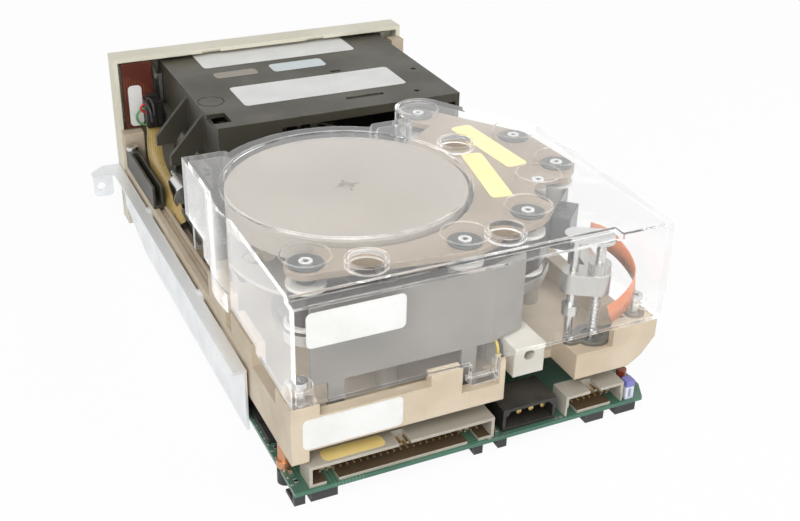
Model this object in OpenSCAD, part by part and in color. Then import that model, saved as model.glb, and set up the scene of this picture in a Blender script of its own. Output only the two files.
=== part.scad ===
// Digital linear tape drive: a front bezel with a lifting door, a cartridge bay, a take-up
// reel with its guide rollers and moving head under a clear cover, on a cast base.
// x runs across the drive, y from the front to the rear, z up from the table.
// The pieces are placed about the drive's middle line and the bezel's back plane;
// row() then shifts them all so that the origin lies below the middle of the whole.

/* [Drive body] */
// Width of the drive behind the bezel
body_w = 144.8; // [142:0.1:148]
// Length from the bezel's back plane to the cover's rear wall
body_len = 231; // [229:0.5:236]
// Height of the clear cover's top
cover_top = 81.2; // [81:0.1:82]
// Height of the main board's top face
board_top = 7; // [6.5:0.1:8]
// Thickness of the main board
board_t = 1.6; // [1.2:0.1:2.2]
// Underside of the casting's deck
deck_z = 21.5; // [20.5:0.1:22]
// Thickness of the casting's deck
deck_t = 3.5; // [3:0.1:4]

/* [Bezel and handle] */
// Width of the bezel
bezel_w = 146.05; // [146:0.05:150]
// Height of the bezel
bezel_h = 84.3; // [84:0.1:86]
// Depth of the bezel in front of its back plane
bezel_d = 10.8; // [10.5:0.1:12]
// Thickness of the bezel's four walls
bezel_wall = 2; // [1.6:0.1:2.2]
// Thickness of the bezel's face
bezel_face_t = 2.4; // [2.2:0.1:2.8]
// Thickness of the door-like handle
handle_t = 3.2; // [3:0.1:3.4]
// Gap all round the handle in its opening
handle_gap = 0.4; // [0.3:0.05:0.6]
// Height of the handle below its hinge line
handle_drop = 33; // [30:0.5:35]
// How far the handle's grip stands out from its plate
grip_out = 1.6; // [1:0.1:3]
// Radius of the hinge pin
hinge_r = 0.7; // [0.6:0.05:0.8]

/* [Cartridge bay] */
// Width of the tape cartridge that the bay takes
cart_w = 105.8; // [105:0.1:106]
// Height of the tape cartridge
cart_h = 25.4; // [25:0.1:25.6]
// Side clearance of the cartridge in its carriage
cart_gap = 0.2; // [0.1:0.05:0.4]
// Length of the receiver shell
bay_len = 95.5; // [92:0.5:95.5]
// Thickness of the receiver's walls
bay_wall = 2; // [1.8:0.1:2.2]
// Height of the receiver's top face
bay_top = 80.5; // [80.3:0.1:81]
// Lift of the carriage when the handle opens
lift = 2.6; // [2:0.1:2.7]
// Travel of the two lift bars
bar_travel = 7.3; // [6.5:0.1:7.5]
// Thickness of the carriage's sheet
sheet_t = 0.6; // [0.5:0.05:0.7]

/* [Tape path] */
// Height of the middle of the tape
tape_mid = 63; // [62.5:0.1:63.5]
// Width of the tape
tape_w = 12.65; // [12:0.05:12.7]
// Radius of the take-up reel's flanges
reel_r = 45.5; // [44:0.1:45.8]
// Radius of the take-up reel's hub
hub_r = 24; // [20:0.5:26]
// Radius of a guide roller where the tape runs
roller_r = 5.5; // [5:0.1:6]
// Radius of a guide roller's rims
rim_r = 7; // [6.6:0.1:7.4]
// Radius of the fixed shaft in a guide roller
shaft_r = 2; // [1.5:0.1:2.5]
// Running clearance between a shaft and its bore
run_gap = 0.06; // [0.03:0.01:0.09]
// Thickness of the upper guide plate
plate_t = 2.5; // [2:0.1:3]
// Radius of the dark cap on a roller shaft
cap_r = 6.2; // [5.5:0.1:7]

/* [Motors and head] */
// Radius of a reel motor's rotor
rotor_r = 27; // [25:0.5:28]
// Radius of a reel motor's spindle
spindle_r = 3; // [2.5:0.1:4]
// Radius of the head's lead screw
lead_r = 1.8; // [1.4:0.1:2.2]
// Radius of the stepper motor
stepper_r = 7; // [6.5:0.1:7.4]
// Travel of the head each way
head_travel = 4; // [3:0.1:4.2]

/* [Dust cover] */
// Thickness of the cover's walls
cover_wall = 2; // [1.6:0.1:2.2]
// Height of the cover's bottom edge
cover_base = 41.5; // [41:0.1:43]
// Radius of the three round holes in the cover's top
access_r = 6.3; // [5:0.1:7]
// Width of the step along the cover's rear rim
ledge_w = 5; // [3:0.1:6]
// Depth of the step along the cover's rear rim
ledge_d = 2; // [1:0.1:2.2]

/* [Connectors] */
// Pitch of the header pins
pin_pitch = 2.54; // [2.5:0.01:2.6]
// Columns of pins in the long header
long_columns = 25; // [20:1:25]
// Columns of pins in the short header
short_columns = 7; // [5:1:7]
// Height of a header
header_h = 8.6; // [8:0.1:9.2]
// Depth of a header
header_d = 9.3; // [9:0.1:10]
// Pitch of the power socket's pins
power_pitch = 5.08; // [5:0.01:5.2]

/* [Side bracket] */
// Thickness of the bracket's sheet
bracket_t = 1; // [0.8:0.1:1.2]
// Length of the bracket's side plate
bracket_len = 183; // [175:1:186]
// Height of the bracket's flange
bracket_top = 29.2; // [28.5:0.1:30]
// Width of the bracket's flange
flange_w = 4.1; // [3.5:0.1:5]
// Width of the bracket's front ear
ear_w = 9; // [8:0.5:11]
// Radius of the hole in the ear
ear_hole_r = 2.1; // [1.8:0.1:2.6]

/* [Mounting holes] */
// Spacing of the bottom holes across the drive
hole_span_x = 139.7; // [139:0.1:140]
// Spacing of the holes along the drive
hole_span_y = 79.25; // [79:0.05:80]
// First hole's distance behind the bezel
hole_first_y = 47.4; // [47:0.1:50]
// Height of the side holes above the bottom
side_hole_z = 21.8; // [21.5:0.1:22]
// Height of the side bracket's holes above the bottom
bracket_hole_z = 25; // [24.8:0.1:26]
// Radius of the threaded holes
thread_r = 1.42; // [1.35:0.01:1.5]
// Depth of the bottom threaded holes
thread_len = 9; // [7:0.5:12]
// Depth of the side threaded holes
side_hole_len = 9; // [8:0.5:12]

/* [Hidden] */
$fn = 48;

// Shared small sizes
eps = 0.5;
gap = 0.3;
slack = 0.06;
half_w = body_w / 2;
deck_top = deck_z + deck_t;

// Places in the plan as shares of the half width and of the length
function at(shares) = [shares[0] * half_w, shares[1] * body_len];
roller_shares = [[0.782, 0.8803], [0.011, 0.9095], [-0.4254, 0.8619], [-0.869, 0.7212],
    [-0.8425, 0.5902], [-0.4848, 0.4309]];
rollers = [for (s = roller_shares) at(s)];
reel_at = at([0.297, 0.671]);
boss_at = at([-0.67, 0.7654]);
access_at = [at([0.539, 0.9245]), at([-0.185, 0.9235]), at([-0.457, 0.599])];
bay_x = -0.076 * half_w;
hub_at = at([-0.076, 0.199]);

// Screws
screw_r = 1.36;
screw_head_r = 2.8;
screw_head_h = 1.8;
cross_w = 0.7;
cross_len = 3.2;
cross_deep = 0.9;

// Casting
rail_w = 6.4;
rail_top = 33;
rail_base = 17;
rail_groove_w = 1.6;
rail_groove_d = 2;
leg_w = 7.4;
leg_l = 8;
rear_wall_t = 4.5;
rear_inset = 2.5;
rear_y = body_len - rear_inset;
corner_w = 10.4;
corner_d = 14.5;
corner_top = 39.6;
low_top = 35;
low_to = 21;
step_top = 39.4;
notch_x0 = -6;
notch_x1 = 9;
notch_floor = 28.7;
wall_end_x = -8.1;
wall_end_top = 38.5;
bay_cut_x = -38;
bay_cut_y = 212;
block_step_x = -53.5;
block_low = 32.2;
block_high = 40;
block_chamfer = 11;
front_post_w = 6.4;
front_post_d = 6;
front_post_top = 49.5;
tall_post_top = 79;
lug_shares = [[0.6, 0.69, 45], [0.72, 0.82, 42]];
hole_ys = [hole_first_y, hole_first_y + hole_span_y];

// Bottom tray
tray_t = 1.2;
tray_inset = 3.4;
tray_front = 4;
tray_short = 10;
tray_rear = body_len - tray_short;
tab_reach = 8;
pad_r = 3;
tab_table = [[0.967, 4], [0.843, 10], [0.014, 3.5], [-0.124, 3.5], [-0.677, 8], [-0.87, 9]];
standoff_shares = [[0.965, 0.93], [0.86, 0.07], [-0.86, 0.07], [-0.86, 0.48], [0.5, 0.48],
    [-0.86, 0.915]];
standoff_r = 2.6;
ring_r = 3.2;
ring_h = 3;

// Bezel openings
hinge_y = -bezel_d + bezel_face_t / 2;
hinge_drop = 6.2;
hinge_z = bezel_h - hinge_drop;
bar_x0 = 50.8;
bar_t = 1.5;
bar_arm_gap = 0.4;
arm_x0 = bar_x0 + bar_t + bar_arm_gap;
arm_t = 1.5;
door_x1 = arm_x0 + arm_t;
door_x0 = 2 * bay_x - door_x1;
cheek = 2.8;
button_w = 9;
button_h = 6;
button_x = 62.7;
unload_z = 69;
density_z = 58;
button_out = 0.8;
button_gap = 0.25;
button_flange = 1;
button_play = 0.3;
stem_r = 1.2;
switch_w = 6;
switch_h = 1.4;
window_w = 10;
window_h = 3.5;
window_z = 76;
panel_t = 1.6;
panel_y = 0.6;
panel_x0 = 55.8;
panel_x1 = 69.7;
panel_z0 = 50;
panel_z1 = 81.8;

// Receiver
bay_y0 = hinge_y + handle_t / 2 + gap;
bay_y1 = bay_y0 + bay_len;
carriage_half = cart_w / 2 + cart_gap + sheet_t;
bay_half = carriage_half + gap;
bay_out = bay_half + bay_wall;
shell_base = 44;
bar_z0 = 50;
bar_z1 = 59.4;
pin_r = 1.5;
pin_y = [10, 70];
seat_z = tape_mid - cart_h / 2;
lift_pin_up = 3.1;
lift_pin_z = seat_z + lift_pin_up;
foot_l = 16;
foot_w = 9.5;
foot_t = 3;
foot_y = [12, 66];
latch_x = 57.5;
gusset_y = [40.5, 64];
gusset_t = 2;
gusset_out = 15;
gusset_drop = 17;
gusset_lip = 4.3;
left_foot_x = bay_x + bay_out + foot_w / 2;
right_foot_x = -half_w + rail_w / 2;

// Reel motors
motor_base_t = 2;
stator_r = 23;
stator_top = 38;
bearing_r = 7;
bearing_top = 40;
skirt_t = 2;
skirt_z = 29;
rotor_z = 41;
rotor_t = 2.5;

// Tape heights
tape_trim = 0.1;
tape_z0 = tape_mid - tape_w / 2 + tape_trim;
tape_z1 = tape_mid + tape_w / 2 - tape_trim;
guide_z0 = tape_mid - tape_w / 2 - gap;
guide_z1 = tape_mid + tape_w / 2 + gap;
rim_t = 1.2;
flange_t = 1.5;
film_t = 0.3;
reel_top = 78.6;
reel_skin = 1.6;
plate_z = 74.9;
plate_top = plate_z + plate_t;
lower_z = 50;
lower_t = 4;
lower_top = lower_z + lower_t;
plate_band = 7.3;
plate_clear = 2;
cap_t = 0.6;

// Head group
screw_at = at([-0.69, 0.95]);
rod_at = at([-0.583, 0.93]);
rod_r = 1.6;
head_w = 15;
head_deep = 7;
head_tall = 13;
head_notch_r = 12.5;
carriage_z0 = 52;
carriage_z1 = 60;
nut_r = 4.5;
knob_r = 4.1;
nut_h = 4;
bridge_z = 72.5;
bridge_t = 2;
collar_z = 42;
stepper_z0 = 24;
stepper_z1 = 33.6;
ear_r = 3;
ear_reach = 9.2;
function unit(v) = v / norm(v);
function left_of(v) = [-v[1], v[0]];
head_dir = unit(rollers[2] - rollers[3]);
head_side = left_of(head_dir);
tape_r = roller_r + tape_trim;
head_at = (rollers[2] + rollers[3]) / 2 + head_side * (tape_r + film_t + gap + head_deep / 2);
head_turn = atan2(head_dir[1], head_dir[0]);

// Cover
sticker_t = 0.15;
cover_rear = body_len - sticker_t;
cover_arc_r = 52.5;
lobe_at = at([-0.5055, 0.431]);
lobe_r = 11.4;
diag_ang = 212;
tab_share = 0.483;
nook_share = 0.468;
nook_x_share = -0.13;
tab_x_share = 0.768;
ledge_x0 = -50;
bead_r = 46;
bead_w = 1.2;
bead_h = 0.5;
collar_t = 1.2;
collar_h = 1;
cover_boss_r = 4.5;
cover_boss_h = 6.4;
edge_steps = [[0.584, 57], [0.715, 49], [0.844, 44.5]];
clip_w = 11;
clip_drop = 8.5;
clip_lip = 2;
cover_screws = [[at([0.93, 0.9697]), corner_top], [at([-0.912, 0.959]), block_high]];

// Side bracket
bracket_y0 = 3;
bracket_y1 = bracket_y0 + bracket_len;
bracket_base = 3.2;
bracket_rise = 9;
bracket_run = 36;
tab_front = -8;
tab_slope = 6.5;
pad_out_r = 5;
pad_len = 0.9;
plate_x = half_w + pad_len;
ear_x1 = plate_x + 2 * bracket_t + flange_w + ear_w;
ear_base = 18.5;

// Whole object
front_y = hinge_y - handle_t / 2 - grip_out;
module row() translate([(bezel_w / 2 - ear_x1) / 2, -(body_len + front_y) / 2, 0]) children();

module block(a, b) translate(a) cube(b - a);
module upright(p, z0, z1, r) translate([p[0], p[1], z0]) cylinder(r = r, h = z1 - z0);
module across(x0, x1, y, z, r) translate([x0, y, z]) rotate([0, 90, 0]) cylinder(r = r, h = x1 - x0);
module along(y0, y1, x, z, r) translate([x, y0, z]) rotate([-90, 0, 0]) cylinder(r = r, h = y1 - y0);
// Flat shape drawn in y and z, thickened along x
module in_yz(x0, t) translate([x0, 0, 0]) rotate([90, 0, 90]) linear_extrude(t) children();
// Flat shape drawn in x and z, thickened forward from y1
module in_xz(y1, t) translate([0, y1, 0]) rotate([90, 0, 0]) linear_extrude(t) children();
module rounded(w, h, r) {
    translate([-w / 2 + r, -h / 2]) square([w - 2 * r, h]);
    translate([-w / 2, -h / 2 + r]) square([w, h - 2 * r]);
    for (x = [-1, 1], y = [-1, 1]) translate([x * (w / 2 - r), y * (h / 2 - r)]) circle(r = r);
}
// A shape on both sides of the cartridge bay's middle line
module both_sides() {
    children();
    translate([2 * bay_x, 0, 0]) mirror([1, 0, 0]) children();
}
// Straight slot with round ends from a to b, its sides a hair inside the rounds
side_share = 0.99;
module slot_shape(a, b, r) {
    translate(a) circle(r = r);
    translate(b) circle(r = r);
    translate(a) rotate(atan2(b[1] - a[1], b[0] - a[0])) translate([0, -r * side_share]) square([norm(b - a), 2 * r * side_share]);
}
// Thin strip that follows points, its width turned by an angle at each of them
module ribbon(points, turns, w, t) {
    last = len(points) - 1;
    function heading(i) = unit(points[min(i + 1, last)] - points[max(i - 1, 0)]);
    function raw(i) = [cos(turns[i]), 0, sin(turns[i])];
    function side(i) = unit(raw(i) - heading(i) * (raw(i) * heading(i)));
    function face(i) = cross(heading(i), side(i));
    corners = [for (i = [0:last], c = [[-1, -1], [1, -1], [1, 1], [-1, 1]])
        points[i] + side(i) * c[0] * w / 2 + face(i) * c[1] * t / 2];
    walls = [for (i = [0:last - 1], k = [0:3]) let (a = 4 * i + k, b = 4 * i + (k + 1) % 4)
        each (k < 2 ? [[a, a + 4, b], [b, a + 4, b + 4]] : [[a, a + 4, b + 4], [a, b + 4, b]])];
    ends = [[0, 1, 2], [0, 2, 3], [4 * last + 2, 4 * last + 1, 4 * last],
        [4 * last + 3, 4 * last + 2, 4 * last]];
    polyhedron(points = corners, faces = concat(walls, ends));
}

// Black tray under the board, with pads and rear tabs that carry the board's edge
module bottom_tray() row() color([0.1, 0.1, 0.11]) difference() {
    union() {
        block([-half_w + tray_inset, tray_front, 0], [half_w - tray_inset, tray_rear, tray_t]);
        for (t = tab_table) translate([t[0] * half_w - t[1] / 2, tray_rear - eps, 0]) {
            cube([t[1], tab_reach + eps, tray_t]);
            translate([0, tab_reach - tray_t, 0]) cube([t[1], tray_t + eps, board_top - board_t]);
        }
        for (s = standoff_shares) upright(at(s), 0, board_top - board_t, pad_r);
    }
    leg_gaps(gap);
}
module leg_gaps(g) for (s = [1, -1], y = hole_ys)
    translate([s * (half_w - leg_w / 2) - leg_w / 2 - g, y - leg_l / 2 - g, -eps])
        cube([leg_w + 2 * g, leg_l + 2 * g, board_top + 2 * eps]);

// Green board with a cut rear corner and gaps for the casting's legs
module main_board() row() color([0.2, 0.46, 0.36]) difference() {
    translate([0, 0, board_top - board_t]) linear_extrude(board_t) polygon([
        [half_w - slack, tray_front], [half_w - slack, body_len],
        [-half_w + board_cut / 2, body_len], [-half_w + slack, body_len - board_cut],
        [-half_w + slack, tray_front]]);
    leg_gaps(gap);
}
board_cut = 7.5;

module board_standoffs() row() color([0.78, 0.5, 0.35]) for (s = standoff_shares) {
    top = s[0] * half_w > half_w - rail_w ? rail_base : deck_z;
    upright(at(s), board_top, top, standoff_r);
    upright(at(s), board_top, board_top + ring_h, ring_r);
}

// Chips as places and sizes, all as shares of the half width and the length
chip_h = 2.2;
chip_shares = [[0.95, 0.786, 0.07, 0.08], [0.955, 0.852, 0.06, 0.045], [0.35, 0.72, 0.4, 0.12],
    [-0.3, 0.7, 0.42, 0.12], [0.2, 0.32, 0.5, 0.15], [-0.45, 0.3, 0.3, 0.1], [0.7, 0.4, 0.2, 0.08],
    [-0.1, 0.52, 0.28, 0.09], [-0.62, 0.55, 0.24, 0.11], [0.55, 0.17, 0.3, 0.07]];
module board_chips() row() color([0.12, 0.12, 0.13]) for (s = chip_shares)
    translate([(s[0] - s[2] / 2) * half_w, (s[1] - s[3] / 2) * body_len, board_top])
        cube([s[2] * half_w, s[3] * body_len, chip_h]);

// Red-brown capacitor beside the jumper block
capacitor_at = at([-0.88, 0.9645]);
capacitor_r = 1.9;
capacitor_h = 9;
module board_capacitor() row() color([0.5, 0.2, 0.12])
    upright(capacitor_at, board_top, board_top + capacitor_h, capacitor_r);

// Shrouded headers at the board's rear edge
header_end = 3.8;
header_wall = 1.2;
cavity_d = 7.3;
tip_back = 3.3;
header_inset = 0.9;
header_y1 = body_len - header_inset;
key_w = 4.6;
pin_w = 0.64;
long_x = 0.4316 * half_w;
short_x = -0.652 * half_w;
pin_mid_z = board_top + header_h / 2;
module header(x, columns) {
    w = columns * pin_pitch + 2 * header_end;
    difference() {
        block([x - w / 2, header_y1 - header_d, board_top], [x + w / 2, header_y1, board_top + header_h]);
        block([x - w / 2 + header_wall, header_y1 - cavity_d, board_top + header_wall],
            [x + w / 2 - header_wall, header_y1 + eps, board_top + header_h - header_wall]);
        block([x - key_w / 2, header_y1 - cavity_d, board_top + header_wall],
            [x + key_w / 2, header_y1 + eps, board_top + header_h + eps]);
        for (s = [-1, 1]) translate([x + s * w * latch_share - key_w / 2, header_y1 - cavity_d, board_top - eps])
            cube([key_w, cavity_d + eps, header_h / 2]);
    }
}
latch_share = 0.38;
module long_header() row() color([0.66, 0.64, 0.6]) header(long_x, long_columns);
module short_header() row() color([0.64, 0.62, 0.58]) header(short_x, short_columns);

power_w = 22.2;
power_x = -0.269 * half_w;
power_inset = 1.8;
power_d = 15.2;
power_y1 = body_len - power_inset;
power_y0 = power_y1 - power_d;
power_h = 9.4;
power_wall = 1.2;
power_cavity = 10;
power_pin_r = 1.05;
power_bevel = 2;
module power_socket() row() color([0.07, 0.07, 0.08]) difference() {
    block([power_x - power_w / 2, power_y0, board_top], [power_x + power_w / 2, power_y1, board_top + power_h]);
    in_xz(power_y1 + eps, power_cavity + eps) polygon([
        [power_x - power_w / 2 + power_wall, board_top + power_wall],
        [power_x + power_w / 2 - power_wall, board_top + power_wall],
        [power_x + power_w / 2 - power_wall, board_top + power_h - power_wall - power_bevel],
        [power_x + power_w / 2 - power_wall - power_bevel, board_top + power_h - power_wall],
        [power_x - power_w / 2 + power_wall + power_bevel, board_top + power_h - power_wall],
        [power_x - power_w / 2 + power_wall, board_top + power_h - power_wall - power_bevel]]);
}

module header_pins(x, columns) for (i = [0:columns - 1], k = [-1, 1])
    translate([x + (i - (columns - 1) / 2) * pin_pitch - pin_w / 2, header_y1 - cavity_d,
        pin_mid_z + k * pin_pitch / 2 - pin_w / 2]) cube([pin_w, cavity_d - tip_back, pin_w]);
module connector_pins() row() color([0.8, 0.68, 0.42]) {
    header_pins(long_x, long_columns);
    header_pins(short_x, short_columns);
    for (i = [-1.5:1:1.5]) along(power_y1 - power_cavity, power_y1 - tip_back, power_x + i * power_pitch,
        board_top + power_h / 2, power_pin_r);
}

// White jumper post with its cap
jumper_at = at([-0.872, 0.9885]);
jumper_w = 3.6;
jumper_h = 8;
jumper_cap = 2.6;
module jumper_block() row() color([0.86, 0.88, 0.9]) translate([jumper_at[0], jumper_at[1], board_top]) {
    difference() {
        translate([-jumper_w / 2, -jumper_w / 2, 0]) cube([jumper_w, jumper_w, jumper_h - jumper_cap]);
        translate([-pin_w, 0, pin_w]) cube([2 * pin_w, jumper_w, jumper_h / 2]);
    }
    translate([-jumper_w / 2 - slack, -jumper_w / 2 - slack, jumper_h - jumper_cap])
        cube([jumper_w + 2 * slack, jumper_w + 2 * slack, jumper_cap]);
}

// Cast base: deck, rails, stepped rear wall, corner and right rear blocks, legs and posts
left_post_w = 9.4;
deck_window_shares = [[0.62, 0.47, 0.2, 0.09], [-0.6, 0.56, 0.16, 0.07]];
module base_casting() row() color([0.84, 0.77, 0.67]) difference() {
    union() {
        translate([0, 0, deck_z]) linear_extrude(deck_t) polygon([[half_w, 0], [half_w, rear_y],
            [wall_end_x, rear_y], [wall_end_x, bay_cut_y], [-half_w, bay_cut_y], [-half_w, 0]]);
        block([half_w - rail_w, 0, rail_base], [half_w, rear_y, rail_top]);
        block([-half_w, 0, rail_base], [-half_w + rail_w, bay_cut_y, rail_top]);
        in_xz(rear_y, rear_wall_t) polygon([[half_w, deck_z], [half_w, corner_top],
            [half_w - corner_w, corner_top], [half_w - corner_w, low_top], [low_to, low_top],
            [low_to, step_top], [notch_x1, step_top], [notch_x1, notch_floor],
            [notch_x0, notch_floor], [notch_x0, wall_end_top], [wall_end_x, wall_end_top],
            [wall_end_x, deck_z]]);
        block([half_w - corner_w, rear_y - corner_d, deck_z], [half_w, rear_y, corner_top]);
        in_xz(rear_y, rear_y - bay_cut_y) polygon([[bay_cut_x, deck_z], [bay_cut_x, block_low],
            [block_step_x, block_low], [block_step_x, block_high], [-half_w, block_high],
            [-half_w, block_low], [-half_w + block_chamfer / 2, deck_z + deck_t],
            [-half_w + block_chamfer, deck_z]]);
        block([half_w - left_post_w, 0, deck_z], [half_w, front_post_d, front_post_top]);
        block([-half_w, 0, deck_z], [-half_w + front_post_w, front_post_d, tall_post_top]);
        for (s = lug_shares) block([half_w - rail_w, s[0] * body_len, rail_top - eps],
            [half_w - slack, s[1] * body_len, s[2]]);
        for (s = [1, -1], y = hole_ys) translate([s * (half_w - leg_w / 2) - leg_w / 2, y - leg_l / 2, 0])
            cube([leg_w, leg_l, deck_z + eps]);
    }
    block([half_w - rail_w / 2 - rail_groove_w, front_post_d + gap, rail_top - rail_groove_d],
        [half_w - rail_w / 2 + rail_groove_w / 2, lug_shares[0][0] * body_len - gap, rail_top + eps]);
    for (s = [1, -1], y = hole_ys) {
        upright([s * hole_span_x / 2, y], -eps, thread_len, thread_r);
        translate([s * (half_w + eps), y, s > 0 ? bracket_hole_z : side_hole_z]) rotate([0, -s * 90, 0])
            cylinder(r = thread_r, h = side_hole_len + eps);
    }
    for (y = foot_y) {
        upright([left_foot_x, y + foot_l / 2], deck_z - eps, deck_top + eps, thread_r);
        upright([right_foot_x, y + foot_l / 2], deck_z, rail_top + eps, thread_r);
    }
    for (c = cover_screws) upright(c[0], c[1] - screw_deep - eps, c[1] + eps, thread_r);
    for (x = bezel_screw_x) along(-eps, screw_deep, x, bezel_screw_z, thread_r);
    upright(screw_at, stepper_z0, block_high + eps, stepper_r + slack);
    block([screw_at[0] - ear_reach - ear_r - slack, screw_at[1] - stepper_r - slack, block_low],
        [bay_cut_x + eps, screw_at[1] + ear_r + gap, block_high + eps]);
    for (s = deck_window_shares) translate([(s[0] - s[2] / 2) * half_w, (s[1] - s[3] / 2) * body_len, deck_z - eps])
        cube([s[2] * half_w, s[3] * body_len, deck_t + 2 * eps]);
}
screw_deep = 5.5;
bezel_screw_x = [half_w - left_post_w / 2, -half_w + front_post_w / 2 + bezel_wall / 2];
bezel_screw_z = 34;

// Zinc-plated bracket on the drive's right side: side plate, top flange and front ear
module side_bracket() row() color([0.66, 0.67, 0.68]) difference() {
    union() {
        in_yz(plate_x, bracket_t) polygon([[bracket_y0, bracket_top], [bracket_y1, bracket_top],
            [bracket_y1, bracket_base], [bracket_y0 + bracket_run, bracket_base],
            [bracket_y0, bracket_base + bracket_rise]]);
        block([plate_x, bracket_y0, bracket_top - bracket_t],
            [plate_x + bracket_t + flange_w, bracket_y1, bracket_top]);
        translate([0, 0, bracket_top - bracket_t]) linear_extrude(bracket_t) polygon([
            [plate_x, tab_front], [ear_x1 - tab_slope, tab_front], [ear_x1, tab_front + tab_slope],
            [ear_x1, bracket_y0], [plate_x, bracket_y0]]);
        in_xz(bracket_y0, bracket_t) translate([ear_x1 - ear_w / 2, (bracket_top + ear_base) / 2])
            rounded(ear_w, bracket_top - ear_base, ear_hole_r);
        for (y = hole_ys) across(half_w, plate_x + eps, y, bracket_hole_z, pad_out_r);
    }
    for (y = hole_ys) across(half_w - eps, plate_x + bracket_t + eps, y, bracket_hole_z, screw_r + slack);
    along(bracket_y0 - bracket_t - eps, bracket_y0 + eps, ear_x1 - ear_w * ear_hole_share,
        (bracket_top + ear_base) / 2, ear_hole_r);
    in_yz(plate_x - eps, bracket_t + 2 * eps) for (s = relief_shares)
        slot_shape([s * body_len, bracket_hole_z], [s * body_len + relief_l, bracket_hole_z], relief_r);
}
ear_hole_share = 0.38;
relief_shares = [0.3, 0.66];
relief_l = 18;
relief_r = 2.2;

// Pan-head screw that points down from z = 0
module machine_screw(deep) {
    difference() {
        cylinder(r = screw_head_r, h = screw_head_h);
        for (a = [0, 90]) rotate(a) translate([-cross_len / 2, -cross_w / 2, screw_head_h - cross_deep])
            cube([cross_len, cross_w, cross_deep + eps]);
    }
    translate([0, 0, -deep]) cylinder(r = screw_r, h = deep + eps);
}
module machine_screws() row() color([0.72, 0.72, 0.72]) {
    for (y = hole_ys) translate([plate_x + bracket_t, y, bracket_hole_z]) rotate([0, 90, 0]) machine_screw(rail_w);
    for (x = bezel_screw_x) translate([x, -bezel_lug_t, bezel_screw_z]) rotate([90, 0, 0])
        machine_screw(bezel_lug_t + screw_deep - eps);
    for (y = foot_y) {
        translate([left_foot_x, y + foot_l / 2, deck_top + foot_t]) machine_screw(foot_t + deck_t - eps);
        translate([right_foot_x, y + foot_l / 2, rail_top + foot_t]) machine_screw(foot_t + screw_deep - eps);
    }
    for (c = cover_screws) translate([c[0][0], c[0][1], c[1] + cover_boss_h]) machine_screw(cover_boss_h + screw_deep - eps);
    translate([channel_screw_x, channel_screw_y, channel_top]) machine_screw(screw_deep);
    for (y = latch_screw_y) translate([latch_x, y, latch_z + latch_t]) machine_screw(latch_t + eps);
}
bezel_lug_t = 3;

// Hollow front bezel with the door opening, button holes, window and hinge cheeks
door_z0 = hinge_z - handle_drop;
door_top = hinge_z + handle_t / 2;
face_in = -bezel_d + bezel_face_t;
bezel_lug_h = 9;
bezel_notch_d = 1;
bezel_notch_shares = [[0.36, 9], [-0.37, 9]];
peg_r = 1.1;
panel_pegs = [[panel_x0 + 2 * peg_r, (window_z + unload_z + button_h / 2 + button_flange) / 2],
    [panel_x1 - 2 * peg_r, density_z - button_h / 2 - button_flange - peg_r - gap]];
front_recess_share = 0.8;
front_recess_d = 0.6;
front_recess_z = [9, 34];
module front_bezel() row() color([0.84, 0.81, 0.75]) difference() {
    union() {
        difference() {
            block([-bezel_w / 2, -bezel_d, 0], [bezel_w / 2, 0, bezel_h]);
            block([-bezel_w / 2 + bezel_wall, face_in, bezel_wall],
                [bezel_w / 2 - bezel_wall, eps, bezel_h - bezel_wall]);
        }
        both_sides() block([door_x1 + handle_gap, face_in - eps, hinge_z - cheek],
            [door_x1 + handle_gap + cheek, face_in + cheek / 2, hinge_z + cheek / 2]);
        for (x = [[half_w - left_post_w, bezel_w / 2 - bezel_wall / 2],
            [-bezel_w / 2 + bezel_wall / 2, -half_w + front_post_w]])
            block([x[0], -bezel_lug_t, bezel_screw_z - bezel_lug_h / 2], [x[1], 0, bezel_screw_z + bezel_lug_h / 2]);
        for (p = panel_pegs) along(face_in - eps, panel_y - panel_t, p[0], p[1], peg_r);
    }
    block([door_x0 - handle_gap, -bezel_d - eps, door_z0 - handle_gap],
        [door_x1 + handle_gap, face_in + eps, door_top + handle_gap]);
    across(door_x0 - handle_gap - pin_grip, door_x1 + handle_gap + pin_grip, hinge_y, hinge_z, hinge_r);
    for (z = [unload_z, density_z]) block([button_x - button_w / 2 - button_gap, -bezel_d - eps, z - button_h / 2 - button_gap],
        [button_x + button_w / 2 + button_gap, face_in + eps, z + button_h / 2 + button_gap]);
    block([button_x - window_w / 2, -bezel_d - eps, window_z], [button_x + window_w / 2, face_in + eps, window_z + window_h]);
    for (x = bezel_screw_x) along(-bezel_lug_t - eps, eps, x, bezel_screw_z, screw_r + slack);
    for (s = bezel_notch_shares) block([s[0] * half_w - s[1] / 2, -bezel_notch_d, bezel_h - bezel_wall - eps],
        [s[0] * half_w + s[1] / 2, eps, bezel_h - bezel_wall / 2]);
    block([-half_w * front_recess_share, -bezel_d - eps, front_recess_z[0]],
        [half_w * front_recess_share, -bezel_d + front_recess_d, front_recess_z[1]]);
}
pin_grip = 2.4;

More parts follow.
